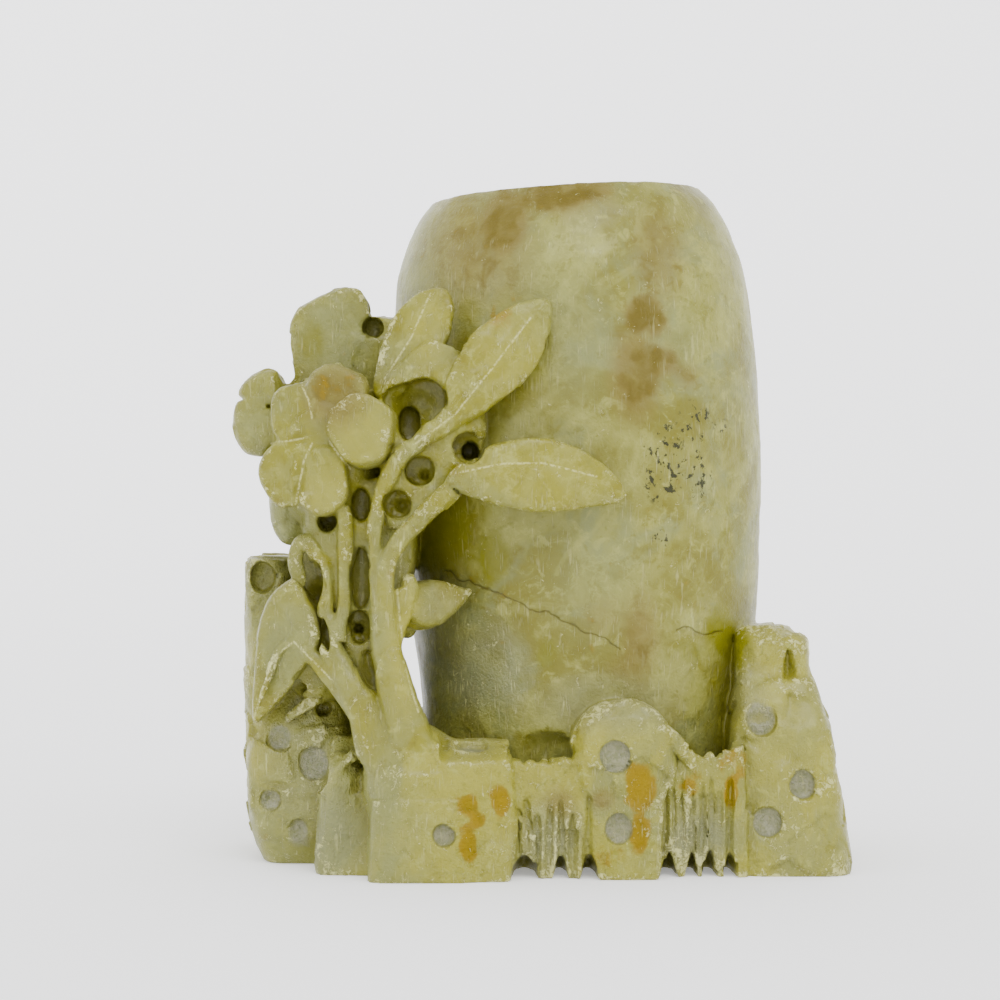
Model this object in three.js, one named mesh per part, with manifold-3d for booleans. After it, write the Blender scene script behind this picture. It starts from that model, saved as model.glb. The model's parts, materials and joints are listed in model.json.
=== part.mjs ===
// A soapstone pen holder carved from one block: a hollow oval vessel standing in a rocky base, with a
// flowering branch in openwork on its front left and low drilled rocks round its foot.
// Millimetres, +Z up, front towards -Y. The origin is the middle of the vessel's foot, on the underside.

import * as THREE from "three";
import { mergeVertices } from "three/addons/utils/BufferGeometryUtils.js";
import Module from "manifold-3d";

const wasm = await Module();
wasm.setup();

// Vessel
const HEIGHT = 117.5; // lip above the underside, over the vessel's foot
const HALF_WIDTH = 32.6; // widest, at the belly
const HALF_DEPTH = 27; // front to back, at the belly
const LEAN = 3.7; // how far the lip stands left of the foot
const LIP_SLOPE = 0.055; // rise of the lip per millimetre to the right
const WALL = 5; // stone left round the well at the lip
const WELL_FLOOR = 24; // where the pens stand, above the underside
const WELL_CORNER = 4; // round between the well's floor and its wall

// Base
const MOAT_FLOOR = 13.5; // the sunk ledge round the vessel's foot
const UNDERSIDE = 0; // height of the flat bed that the holder stands on
const DIMPLE_DEPTH = 1.4; // of the flat drilled discs in the rocks
const DIMPLE_RADIUS = 2.5;
const GROOVE_HEIGHT = 16; // of the grass cuts in the front rocks
const GROOVE_RADIUS = 2.1; // at the bottom of a cut, where it is widest

// Branch
const LEAF_HALF_WIDTH = 5.8;
const LEAF_THICKNESS = 3.2;
const PETAL_HALF_WIDTH = 5.4;
const PETAL_THICKNESS = 3.4;
const STEM_RADIUS = 2.1;
const TWIG_RADIUS = 1.6;
const HOLE_RADIUS = 2.6; // of the drilled holes between the stems

// Fineness of the facets
const VESSEL_SIDES = 40;
const ROCK_SIDES = 12;
const BOULDER_ROWS = 7;
const LEAF_SIDES = 8;
const LEAF_STEPS = 8;
const STEM_SIDES = 6;
const STEM_STEPS = 7;
const DRILL_SIDES = 9;

const STONE_COLOUR = 0xa9a75f;

// A place on the stone: x in half widths of the vessel, y in half depths and z in heights.
const at = (x, y, z) =>
  new THREE.Vector3(x * HALF_WIDTH, y * HALF_DEPTH, z * HEIGHT);

const smooth = (t) => {
  const s = THREE.MathUtils.clamp(t, 0, 1);
  return s * s * (3 - 2 * s);
};

// Moves every vertex of a closed geometry to where place(vertex) says, and makes the result a solid.
function carve(geometry, place) {
  const bare = geometry.index ? geometry.toNonIndexed() : geometry;
  const position = bare.getAttribute("position");
  for (let i = 0; i < position.count; i++) {
    const p = place(new THREE.Vector3().fromBufferAttribute(position, i));
    position.setXYZ(i, p.x, p.y, p.z);
  }
  const closed = mergeVertices(
    new THREE.BufferGeometry().setAttribute("position", position),
    1e-3,
  );
  const triVerts = new Uint32Array(closed.index.array);
  const vertProperties = closed.attributes.position.array;
  const solid = new wasm.Manifold(
    new wasm.Mesh({ numProp: 3, vertProperties, triVerts }),
  );
  if (solid.volume() > 0) return solid;
  for (let i = 0; i < triVerts.length; i += 3)
    [triVerts[i + 1], triVerts[i + 2]] = [triVerts[i + 2], triVerts[i + 1]];
  return new wasm.Manifold(
    new wasm.Mesh({ numProp: 3, vertProperties, triVerts }),
  );
}

const join = (solids) => solids.reduce((whole, one) => whole.add(one));

// The vessel's outline: its radius as a share of the belly's, at shares of its height.
const outline = new THREE.CatmullRomCurve3(
  [
    [0.87, 0],
    [0.895, 0.22],
    [0.955, 0.38],
    [0.997, 0.56],
    [0.998, 0.72],
    [0.965, 0.855],
    [0.9, 0.925],
    [0.82, 0.972],
    [0.735, 1],
  ].map(([radius, height]) => new THREE.Vector3(radius, height, 0)),
);
const LIP_SHARE = outline.getPoint(1).x;

// Where the vessel's axis is at a height, and how far the sloping lip lifts a place near the top.
const axisX = (z) => -LEAN * (z / HEIGHT) ** 2;
const lipLift = (x, z) => LIP_SLOPE * x * smooth((z / HEIGHT - 0.75) / 0.25);

function ovalAbout(radiusX, radiusY, p) {
  const x = p.x * radiusX + axisX(p.y);
  return new THREE.Vector3(x, -p.z * radiusY, p.y + lipLift(x, p.y));
}

function vesselBody() {
  const wall = outline
    .getSpacedPoints(14)
    .map((p) => new THREE.Vector2(p.x, p.y * HEIGHT));
  const profile = [
    new THREE.Vector2(0, UNDERSIDE),
    ...wall,
    new THREE.Vector2(0, HEIGHT),
  ];
  return carve(new THREE.LatheGeometry(profile, VESSEL_SIDES), (p) =>
    ovalAbout(HALF_WIDTH, HALF_DEPTH, p),
  );
}

// The well is a straight oval bore that leaves WALL of stone at the lip.
function well() {
  const halfWidth = HALF_WIDTH * LIP_SHARE - WALL;
  const halfDepth = HALF_DEPTH * LIP_SHARE - WALL;
  const corner = WELL_CORNER / halfDepth;
  const arc = [0, 1, 2, 3].map((i) => (i / 3) * (Math.PI / 2));
  const above = HEIGHT + WALL;
  const profile = [
    new THREE.Vector2(0, WELL_FLOOR),
    ...arc.map(
      (a) =>
        new THREE.Vector2(
          1 - corner * (1 - Math.sin(a)),
          WELL_FLOOR + WELL_CORNER * (1 - Math.cos(a)),
        ),
    ),
    new THREE.Vector2(1, (WELL_FLOOR + above) / 2),
    new THREE.Vector2(1, above),
    new THREE.Vector2(0, above),
  ];
  return carve(new THREE.LatheGeometry(profile, VESSEL_SIDES), (p) =>
    ovalAbout(halfWidth, halfDepth, p),
  );
}

// A rock is a prism on a squared oval plan that draws in towards its top.
// Its box is given by shares of the vessel's sizes; square is 2 for an oval and more for squarer corners,
// foot draws its underside in, taper narrows it all the way up, leanX shifts the top sideways by a share
// of its half width, and tilt slopes the top by a share of the vessel's height.
function rock({
  x,
  y,
  top,
  square = 4,
  foot = 1,
  drawIn = 0.82,
  taper = 0,
  leanX = 0,
  tilt = 0,
}) {
  const middle = at((x[0] + x[1]) / 2, (y[0] + y[1]) / 2, 0);
  const half = at((x[1] - x[0]) / 2, (y[1] - y[0]) / 2, 0);
  const widths = [foot, 1, 0.985, (1 + drawIn) / 2, drawIn];
  const heights = [0, 0.22, 0.6, 0.86, 1];
  const turn = Math.PI / ROCK_SIDES;
  const prism = new THREE.CylinderGeometry(1, 1, 1, ROCK_SIDES, 4, false, turn);
  return carve(prism, (p) => {
    const row = Math.round((p.y + 0.5) * 4);
    const power = 2 / square;
    const corner = (v) => Math.sign(v) * Math.abs(v) ** power;
    const rise = heights[row];
    const width = widths[row] * (1 - taper * rise);
    return new THREE.Vector3(
      middle.x + (corner(p.x) * width + leanX * rise) * half.x,
      middle.y + corner(p.z) * width * half.y,
      UNDERSIDE + rise * ((top + tilt * p.x) * HEIGHT - UNDERSIDE),
    );
  });
}

// A boulder is a squared ball about a place.
function boulder({ middle, half, square = 2.4 }) {
  const centre = at(...middle);
  const size = at(...half);
  const corner = (v) => Math.sign(v) * Math.abs(v) ** (2 / square);
  return carve(new THREE.SphereGeometry(1, ROCK_SIDES, BOULDER_ROWS), (p) =>
    new THREE.Vector3(corner(p.x), corner(p.z), corner(p.y))
      .multiply(size)
      .add(centre),
  );
}

// A leaf or petal runs from base to tip. Its width follows share^fullest in a half sine, raised to blunt;
// bow lifts its middle towards the viewer, sweep bends it sideways and face turns its upper side.
function leaf({
  base,
  tip,
  halfWidth,
  thickness = LEAF_THICKNESS,
  bow = 0,
  sweep = 0,
  fullest = 1,
  blunt = 0.8,
  face = [0, -1, 0],
}) {
  const from = at(...base);
  const along = at(...tip).sub(from);
  const side = new THREE.Vector3()
    .crossVectors(along, new THREE.Vector3(...face))
    .normalize();
  const front = new THREE.Vector3().crossVectors(side, along).normalize();
  return carve(new THREE.SphereGeometry(1, LEAF_SIDES, LEAF_STEPS), (p) => {
    const share = (1 - p.y) / 2;
    const ring = Math.hypot(p.x, p.z) || 1;
    const arch = 4 * share * (1 - share);
    const swell = Math.sin(Math.PI * share ** fullest) ** blunt;
    const edge = Math.min(1, 2.5 * Math.sqrt(arch));
    return from
      .clone()
      .addScaledVector(along, share)
      .addScaledVector(side, sweep * arch + (p.x / ring) * halfWidth * swell)
      .addScaledVector(front, bow * arch + (p.z / ring) * thickness * edge * 0.5);
  });
}

// A stem is a tapering round bar along a smooth line through its points.
function stem({ points, from = STEM_RADIUS, to = from }) {
  const line = new THREE.CatmullRomCurve3(points.map((p) => at(...p)));
  const bar = new THREE.CylinderGeometry(1, 1, 1, STEM_SIDES, STEM_STEPS);
  const towardsViewer = new THREE.Vector3(0, -1, 0);
  return carve(bar, (p) => {
    const share = p.y + 0.5;
    const tangent = line.getTangent(share);
    const side = new THREE.Vector3()
      .crossVectors(tangent, towardsViewer)
      .normalize();
    const front = new THREE.Vector3().crossVectors(side, tangent);
    const radius = THREE.MathUtils.lerp(from, to, smooth(share));
    return line
      .getPoint(share)
      .addScaledVector(side, p.x * radius)
      .addScaledVector(front, p.z * radius);
  });
}

// A web is the stone left behind the stems: a plate with a flat outline, from y[0] at the front to y[1].
function web({ outlinePoints, y }) {
  const shape = new THREE.Shape(
    outlinePoints.map(
      ([x, z]) => new THREE.Vector2(x * HALF_WIDTH, z * HEIGHT),
    ),
  );
  const depth = (y[1] - y[0]) * HALF_DEPTH;
  const plate = new THREE.ExtrudeGeometry(shape, {
    depth,
    bevelEnabled: false,
    steps: 1,
  });
  return carve(
    plate,
    (p) => new THREE.Vector3(p.x, y[0] * HALF_DEPTH + p.z, p.y),
  );
}

// A drilled hole comes from in front and ends flat at y. tall stretches it upwards, for holes run together.
function drill({ x, z, y, radius = HOLE_RADIUS, tall = 1 }) {
  const floor = at(x, y, z);
  const reach = HALF_DEPTH;
  const bit = new THREE.CylinderGeometry(1, 1, 1, DRILL_SIDES, 1);
  return carve(
    bit,
    (p) =>
      new THREE.Vector3(
        floor.x + p.x * radius,
        floor.y - (p.y + 0.5) * reach,
        floor.z + p.z * radius * tall,
      ),
  );
}

// A dimple is a shallow flat-floored disc in a rock whose front face is at y.
const dimple = ({ x, z, y, radius = DIMPLE_RADIUS }) =>
  drill({ x, z, y: y + DIMPLE_DEPTH / HALF_DEPTH, radius });

// A grass cut is a cone standing on its wide end in the front face, so the rock's foot ends in teeth.
function grassCut({ x, y, radius = GROOVE_RADIUS }) {
  const foot = at(x, y, 0);
  const cone = new THREE.CylinderGeometry(0.35, 1, 1, 5, 1);
  return carve(
    cone,
    (p) =>
      new THREE.Vector3(
        foot.x + p.x * radius,
        foot.y + p.z * radius * 1.5,
        UNDERSIDE - WALL / 5 + (p.y + 0.5) * GROOVE_HEIGHT,
      ),
  );
}

// The rocks round the foot, from the left wall round the front to the right wall and the back.
const rocks = () =>
  join([
    rock({ x: [-1.7, 1.22], y: [-0.72, 1.05], top: MOAT_FLOOR / HEIGHT }),
    rock({ x: [-1.42, 1.0], y: [-1.16, 0.4], top: MOAT_FLOOR / HEIGHT }),
    rock({ x: [-1.8, -1.5], y: [-0.62, 0.3], top: 0.45, square: 3, foot: 0.6, leanX: -0.35 }),
    rock({ x: [-1.83, -1.2], y: [-0.74, 0.55], top: 0.29, foot: 0.76, drawIn: 0.7, tilt: -0.02 }),
    rock({ x: [-1.41, -1.06], y: [-0.97, -0.1], top: 0.19, drawIn: 0.7, taper: 0.1 }),
    rock({ x: [-1.43, -1.1], y: [-1.06, -0.4], top: 0.1, square: 5 }),
    rock({ x: [-1.15, -0.6], y: [-1.37, -0.9], top: 0.115, square: 6, drawIn: 0.92 }),
    rock({ x: [-0.86, -0.39], y: [-1.33, -0.9], top: 0.185, square: 6, drawIn: 0.9 }),
    rock({ x: [-0.46, 0.02], y: [-1.22, -1.0], top: 0.162, square: 6, drawIn: 0.9 }),
    rock({ x: [-0.04, 0.36], y: [-1.25, -0.95], top: 0.17, square: 6, drawIn: 0.92 }),
    rock({ x: [0.3, 0.8], y: [-1.16, -0.9], top: 0.175, square: 6, drawIn: 0.9, tilt: 0.012 }),
    rock({
      x: [0.735, 1.36],
      y: [-1.11, 0.45],
      top: 0.348,
      square: 6,
      drawIn: 0.5,
      taper: 0.22,
      leanX: -0.28,
    }),
    rock({ x: [0.64, 0.9], y: [-0.78, -0.2], top: 0.33, square: 3, drawIn: 0.6 }),
    rock({ x: [-1.35, -0.55], y: [0.2, 1.12], top: 0.2, tilt: 0.02 }),
    rock({ x: [-0.65, 0.3], y: [0.55, 1.16], top: 0.16, square: 5 }),
    rock({ x: [0.2, 1.1], y: [0.3, 1.08], top: 0.21, tilt: 0.015 }),
    boulder({ middle: [0.15, -1.08, 0.168], half: [0.265, 0.19, 0.084] }),
    boulder({ middle: [0.4, -1.02, 0.15], half: [0.16, 0.12, 0.045] }),
    boulder({ middle: [-0.93, -1.06, 0.14], half: [0.25, 0.29, 0.075], square: 2 }),
  ]);

// The webs and masses that carry the branch and tie it to the vessel's left side.
const backing = () =>
  join([
    web({
      y: [-1.0, -0.3],
      outlinePoints: [
        [-1.52, 0.56],
        [-0.98, 0.56],
        [-0.9, 0.47],
        [-0.9, 0.36],
        [-1.03, 0.345],
        [-1.0, 0.18],
        [-1.2, 0.18],
        [-1.3, 0.3],
        [-1.37, 0.38],
        [-1.37, 0.45],
        [-1.45, 0.465],
        [-1.52, 0.48],
      ],
    }),
    web({
      y: [-1.15, -0.4],
      outlinePoints: [
        [-1.12, 0.515],
        [-1.12, 0.6],
        [-1.08, 0.7],
        [-0.86, 0.738],
        [-0.72, 0.735],
        [-0.66, 0.66],
        [-0.54, 0.643],
        [-0.57, 0.6],
        [-0.72, 0.565],
        [-0.78, 0.53],
        [-0.94, 0.49],
      ],
    }),
    boulder({ middle: [-1.38, -0.72, 0.62], half: [0.29, 0.38, 0.12] }),
    boulder({ middle: [-1.14, -0.5, 0.69], half: [0.26, 0.35, 0.12] }),
    boulder({ middle: [-1.1, -0.34, 0.77], half: [0.26, 0.16, 0.035] }),
    boulder({ middle: [-1.72, -0.7, 0.692], half: [0.155, 0.17, 0.036], square: 2.2 }),
    boulder({ middle: [-1.72, -0.74, 0.634], half: [0.17, 0.17, 0.038], square: 2.2 }),
    boulder({ middle: [-1.57, -0.62, 0.56], half: [0.13, 0.22, 0.09] }),
    boulder({ middle: [-1.42, -0.6, 0.315], half: [0.2, 0.3, 0.075] }),
    stem({
      points: [
        [-1.63, -0.6, 0.58],
        [-1.57, -0.54, 0.49],
        [-1.57, -0.5, 0.36],
      ],
      from: 2.2 * TWIG_RADIUS,
      to: 1.8 * TWIG_RADIUS,
    }),
  ]);

const stems = () =>
  join([
    stem({
      points: [
        [-0.88, -1.16, 0.14],
        [-1.03, -1.2, 0.267],
        [-1.09, -1.18, 0.365],
        [-1.07, -1.18, 0.449],
        [-0.95, -1.23, 0.523],
        [-0.7, -1.26, 0.563],
      ],
      from: 2 * STEM_RADIUS,
      to: STEM_RADIUS,
    }),
    stem({
      points: [
        [-1.07, -1.16, 0.43],
        [-1.06, -1.18, 0.534],
        [-0.94, -1.2, 0.597],
        [-0.8, -1.2, 0.645],
      ],
      from: STEM_RADIUS,
      to: STEM_RADIUS,
    }),
    stem({
      points: [
        [-0.98, -1.14, 0.14],
        [-1.2, -1.16, 0.259],
        [-1.31, -1.08, 0.336],
        [-1.35, -1.0, 0.406],
        [-1.4, -0.93, 0.462],
      ],
      from: 1.6 * STEM_RADIUS,
      to: TWIG_RADIUS,
    }),
    stem({
      points: [
        [-1.38, -0.93, 0.462],
        [-1.48, -0.86, 0.468],
        [-1.57, -0.84, 0.44],
        [-1.58, -0.84, 0.39],
      ],
      from: TWIG_RADIUS,
      to: TWIG_RADIUS,
    }),
    stem({
      points: [
        [-1.26, -1.07, 0.31],
        [-1.28, -1.05, 0.421],
        [-1.27, -1.02, 0.54],
      ],
      from: TWIG_RADIUS,
      to: TWIG_RADIUS,
    }),
    stem({
      points: [
        [-1.12, -1.16, 0.2],
        [-1.32, -1.06, 0.28],
        [-1.43, -1.03, 0.31],
        [-1.54, -0.98, 0.334],
        [-1.62, -0.96, 0.322],
      ],
      from: STEM_RADIUS,
      to: 0.7 * TWIG_RADIUS,
    }),
    stem({
      points: [
        [-1.06, -1.1, 0.29],
        [-0.99, -1.1, 0.34],
        [-0.9, -1.03, 0.378],
      ],
      from: TWIG_RADIUS,
      to: 0.8 * TWIG_RADIUS,
    }),
  ]);

const leaves = () =>
  join([
    leaf({
      base: [-1.12, -0.96, 0.675],
      tip: [-0.75, -0.9, 0.84],
      halfWidth: 0.97 * LEAF_HALF_WIDTH,
      fullest: 1.3,
      blunt: 0.55,
      face: [-0.25, -1, 0],
    }),
    leaf({
      base: [-0.9, -1.16, 0.6],
      tip: [-0.22, -1.0, 0.82],
      halfWidth: LEAF_HALF_WIDTH,
      fullest: 1.45,
      bow: 0.25 * LEAF_THICKNESS,
    }),
    leaf({
      base: [-0.76, -1.24, 0.56],
      tip: [0.18, -1.12, 0.54],
      halfWidth: 1.03 * LEAF_HALF_WIDTH,
      fullest: 0.95,
      bow: 0.44 * LEAF_THICKNESS,
      sweep: -0.38 * LEAF_HALF_WIDTH,
    }),
    leaf({
      base: [-1.52, -0.88, 0.415],
      tip: [-1.775, -0.92, 0.21],
      halfWidth: 0.81 * LEAF_HALF_WIDTH,
      fullest: 0.8,
      bow: 0.5 * LEAF_THICKNESS,
      sweep: -0.14 * LEAF_HALF_WIDTH,
      face: [-0.2, -1, 0],
    }),
    leaf({
      base: [-1.4, -0.55, 0.685],
      tip: [-1.34, -0.5, 0.852],
      halfWidth: 1.26 * LEAF_HALF_WIDTH,
      blunt: 0.3,
      thickness: 1.4 * LEAF_THICKNESS,
      face: [-0.25, -1, 0],
    }),
    leaf({
      base: [-1.02, -1.08, 0.365],
      tip: [-0.62, -0.86, 0.403],
      halfWidth: 0.57 * LEAF_HALF_WIDTH,
      thickness: 1.4 * LEAF_THICKNESS,
    }),
  ]);

// Five petals overlap about the flower's eye, each narrow at the eye and a round disc at its end.
const FLOWER_EYE = [-1.44, -1.08, 0.642];
const PETALS = [
  { tip: [-1.2, -1.14, 0.725], halfWidth: 1.04 * PETAL_HALF_WIDTH },
  { tip: [-0.94, -1.24, 0.632], halfWidth: 1.2 * PETAL_HALF_WIDTH },
  { tip: [-1.4, -1.16, 0.512], halfWidth: 0.96 * PETAL_HALF_WIDTH },
  { tip: [-1.68, -1.02, 0.527], halfWidth: 0.81 * PETAL_HALF_WIDTH },
  { tip: [-1.65, -0.98, 0.694], halfWidth: PETAL_HALF_WIDTH },
];
const flower = () =>
  join([
    ...PETALS.map((petal) =>
      leaf({
        base: FLOWER_EYE,
        thickness: PETAL_THICKNESS,
        fullest: 1.3,
        blunt: 0.36,
        bow: 0.12 * PETAL_THICKNESS,
        ...petal,
      }),
    ),
    boulder({ middle: FLOWER_EYE, half: [0.12, 0.08, 0.03], square: 2 }),
  ]);

// Holes between the stems. The one with the deepest floor goes right through the openwork.
const HOLES = [
  { x: -1.19, z: 0.525, y: -0.75, radius: 0.65 * HOLE_RADIUS, tall: 1.5 },
  { x: -1.0, z: 0.527, y: -0.88 },
  { x: -0.89, z: 0.576, y: -0.88 },
  { x: -0.65, z: 0.609, y: -0.72 },
  { x: -0.87, z: 0.668, y: -0.72, radius: 1.38 * HOLE_RADIUS },
  { x: -1.18, z: 0.424, y: -0.66, radius: 0.62 * HOLE_RADIUS, tall: 3 },
  { x: -1.19, z: 0.35, y: -0.66, radius: 0.65 * HOLE_RADIUS, tall: 1.4 },
  { x: -1.16, z: 0.27, y: -0.8, radius: 0.58 * HOLE_RADIUS, tall: 1.8 },
  { x: -1.445, z: 0.418, y: 0.2, radius: 0.69 * HOLE_RADIUS, tall: 2.3 },
];
const DIMPLES = [
  { x: -1.64, z: 0.19, y: -0.72, radius: 0.84 * DIMPLE_RADIUS },
  { x: -1.43, z: 0.158, y: -0.72 },
  { x: -1.69, z: 0.092, y: -0.7, radius: 0.8 * DIMPLE_RADIUS },
  { x: -1.53, z: 0.055, y: -0.72 },
  { x: -0.76, z: 0.072, y: -1.36, radius: 0.76 * DIMPLE_RADIUS },
  { x: 0.11, z: 0.174, y: -1.26, radius: 1.2 * DIMPLE_RADIUS },
  { x: 0.13, z: 0.073, y: -1.25 },
  { x: 0.89, z: 0.221, y: -0.98 },
  { x: 1.09, z: 0.13, y: -1.03 },
  { x: 0.905, z: 0.076, y: -1.07 },
  { x: -1.41, z: 0.229, y: -0.72, radius: 0.52 * DIMPLE_RADIUS },
];
const GRASS_CUTS = [
  { x: -0.35, y: -1.22, radius: 0.9 * GROOVE_RADIUS },
  { x: -0.21, y: -1.22 },
  { x: -0.06, y: -1.23, radius: 0.86 * GROOVE_RADIUS },
  { x: 0.39, y: -1.15, radius: 0.86 * GROOVE_RADIUS },
  { x: 0.51, y: -1.15 },
  { x: 0.61, y: -1.15, radius: 0.71 * GROOVE_RADIUS },
  { x: 0.7, y: -1.14, radius: 0.81 * GROOVE_RADIUS },
];

const stone = join([vesselBody(), rocks(), backing(), stems(), leaves(), flower()])
  .subtract(join([...HOLES.map(drill), ...DIMPLES.map(dimple), ...GRASS_CUTS.map(grassCut)]))
  .subtract(well());

function meshOf(solid, name, colour) {
  const { vertProperties, triVerts } = solid.getMesh();
  const geometry = new THREE.BufferGeometry()
    .setAttribute("position", new THREE.BufferAttribute(vertProperties, 3))
    .setIndex(new THREE.BufferAttribute(triVerts, 1));
  geometry.computeVertexNormals();
  const material = new THREE.MeshStandardMaterial({
    color: colour,
    roughness: 0.5,
    metalness: 0,
  });
  const mesh = new THREE.Mesh(geometry, material);
  mesh.name = name;
  return mesh;
}

const penHolder = new THREE.Group();
penHolder.add(meshOf(stone, "carved_pen_holder", STONE_COLOUR));

export default penHolder;
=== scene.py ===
"""Soapstone pen holder: a hollow oval vessel on a rocky base with a flowering branch in openwork.

The stone is one block. Every form on it is a closed surface worked out on a grid, in millimetres, in the
frame of the CAD part: +Z up, front towards -Y, the origin in the middle of the vessel's foot. The surfaces
are laid into a block of distances, which joins and cuts them with soft edges as a carver does, and the skin
of the block is the finished mesh.
"""

from __future__ import annotations

import json
import logging
import math
from dataclasses import dataclass, field
from enum import IntEnum

import bpy
import numpy as np
import openvdb
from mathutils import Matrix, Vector

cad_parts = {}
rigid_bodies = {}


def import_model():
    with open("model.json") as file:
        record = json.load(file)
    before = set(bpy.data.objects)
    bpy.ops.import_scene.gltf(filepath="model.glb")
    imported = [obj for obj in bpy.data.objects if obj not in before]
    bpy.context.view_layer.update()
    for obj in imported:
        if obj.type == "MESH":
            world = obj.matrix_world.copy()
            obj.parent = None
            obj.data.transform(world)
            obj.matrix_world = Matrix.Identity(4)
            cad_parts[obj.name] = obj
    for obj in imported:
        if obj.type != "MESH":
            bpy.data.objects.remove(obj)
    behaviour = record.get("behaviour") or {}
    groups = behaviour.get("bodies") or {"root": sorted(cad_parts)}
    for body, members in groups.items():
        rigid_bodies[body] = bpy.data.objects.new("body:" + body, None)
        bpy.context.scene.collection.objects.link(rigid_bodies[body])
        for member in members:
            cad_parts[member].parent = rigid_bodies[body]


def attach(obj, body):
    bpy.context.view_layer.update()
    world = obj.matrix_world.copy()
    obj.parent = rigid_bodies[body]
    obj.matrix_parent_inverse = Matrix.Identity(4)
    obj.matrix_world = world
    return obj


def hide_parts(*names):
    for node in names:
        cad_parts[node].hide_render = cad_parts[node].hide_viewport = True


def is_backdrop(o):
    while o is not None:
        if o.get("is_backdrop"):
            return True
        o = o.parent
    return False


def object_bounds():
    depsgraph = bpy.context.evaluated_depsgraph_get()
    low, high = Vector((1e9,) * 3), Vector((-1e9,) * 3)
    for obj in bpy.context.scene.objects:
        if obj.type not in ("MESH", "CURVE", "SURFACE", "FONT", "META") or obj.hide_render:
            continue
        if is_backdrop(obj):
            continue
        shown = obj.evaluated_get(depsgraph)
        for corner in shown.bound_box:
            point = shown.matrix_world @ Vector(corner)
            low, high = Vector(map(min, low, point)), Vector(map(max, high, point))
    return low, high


LOG = logging.getLogger("pen_holder")
Array = np.ndarray
Point = tuple[float, float, float]
Span = tuple[float, float]
Colour = tuple[float, float, float, float]

METRES = 0.001  # one millimetre
NODE = "carved_pen_holder"
TRIANGLES = 192_000  # of the finished stone

HEIGHT = 117.5  # lip above the underside
HALF_WIDTH = 32.6  # of the vessel at its belly
HALF_DEPTH = 27.0
LEAN = 3.7  # how far the lip stands left of the foot
LIP_SLOPE = 0.055  # rise of the lip per millimetre to the right
WALL = 5.0  # stone left round the well at the lip
WELL_FLOOR = 24.0
WELL_CORNER = 4.0
MOAT_FLOOR = 13.5  # the sunk ledge round the vessel's foot


def several(*items: object) -> list:
    """Give a dataclass field whose default is a new list of the items."""
    return field(default_factory=lambda: list(items))


class Kind(IntEnum):
    """What a stretch of the stone's skin is carved as."""

    VESSEL = 0
    ROCK = 1
    BRANCH = 2


# ---------------------------------------------------------------- surfaces on a grid


def smooth_line(points: Array, count: int) -> Array:
    """Sample a smooth line through points.

    Between two points the line is the cubic whose slope at each point is half the step from the point
    before it to the point after it.

    Args:
        points: The points, one a row.
        count: How many samples to take, evenly spread over the stretches.

    Returns:
        The samples, one a row.
    """
    given = np.asarray(points, float)
    first = 2 * given[0] - given[1]
    last = 2 * given[-1] - given[-2]
    padded = np.vstack([first, given, last])
    place = np.linspace(0, len(given) - 1, count)
    stretch = np.minimum(place.astype(int), len(given) - 2)
    f = (place - stretch)[:, None]
    a, b, c, d = (padded[stretch + step] for step in range(4))
    return 0.5 * (2 * b + (c - a) * f + (2 * a - 5 * b + 4 * c - d) * f**2 + (3 * b - a - 3 * c + d) * f**3)


def squared(value: Array, square: float) -> Array:
    """Push a cosine or sine outwards: its sign times its size to the power 2 / square."""
    return np.sign(value) * np.abs(value) ** (2 / square)


def unit(vectors: Array) -> Array:
    """Scale each row to length one."""
    return vectors / np.maximum(np.linalg.norm(vectors, axis=-1, keepdims=True), 1e-9)


def around(count: int) -> Array:
    """Give count angles evenly round a circle."""
    return np.linspace(0, 2 * math.pi, count, endpoint=False)


def carried(
    path: Array,
    wide: Array,
    deep: Array,
    square: float = 2.0,
    face: Point = (0, -1, 0),
    sides: int = 40,
    relief: Array | None = None,
) -> Array:
    """Carry a squared oval along a path.

    At each row the profile is wide times the squared cosine sideways and deep times the squared sine
    towards the face, and relief is added on the face's side only.

    Args:
        path: The rows' middles, one a row.
        wide: Half width of each row.
        deep: Half depth of each row.
        square: 2 for an oval, more for squarer corners.
        face: The direction that the front side looks in.
        sides: Points round the profile.
        relief: Height added on the face, as rows by sides.

    Returns:
        The surface as rows by sides by three.
    """
    tangent = unit(np.gradient(path, axis=0))
    side = unit(np.cross(tangent, np.array(face, float)))
    front = unit(np.cross(side, tangent))
    angle = around(sides)
    across = squared(np.cos(angle), square)
    out = squared(np.sin(angle), square)
    lift = deep[:, None] * out
    if relief is not None:
        lift = lift + relief * np.clip(np.sin(angle), 0, 1) ** 0.3
    return (
        path[:, None, :]
        + side[:, None, :] * (wide[:, None] * across)[..., None]
        + front[:, None, :] * lift[..., None]
    )


def pebble(middle: Point, half: Point, square: float = 2.4) -> Array:
    """Make a squared ball.

    Height is the squared cosine of the angle from the top, and the ring there is the squared sine of it
    times a squared circle.

    Args:
        middle: Its centre.
        half: Its half sizes.
        square: 2 for an ellipsoid, more for squarer corners.

    Returns:
        The surface as rows by sides by three.
    """
    down = np.linspace(0, math.pi, 30)[:, None]
    turn = around(44)[None, :]
    ring = np.abs(squared(np.sin(down), square))
    ball = np.stack(
        [
            ring * squared(np.cos(turn), square),
            ring * squared(np.sin(turn), square),
            squared(np.cos(down), square) * np.ones_like(turn),
        ],
        axis=-1,
    )
    return np.array(middle) + ball * np.array(half)


def axis_x(z: Array) -> Array:
    """Give the vessel's axis at a height: it leans left with the square of the height."""
    return -LEAN * (z / HEIGHT) ** 2


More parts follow.
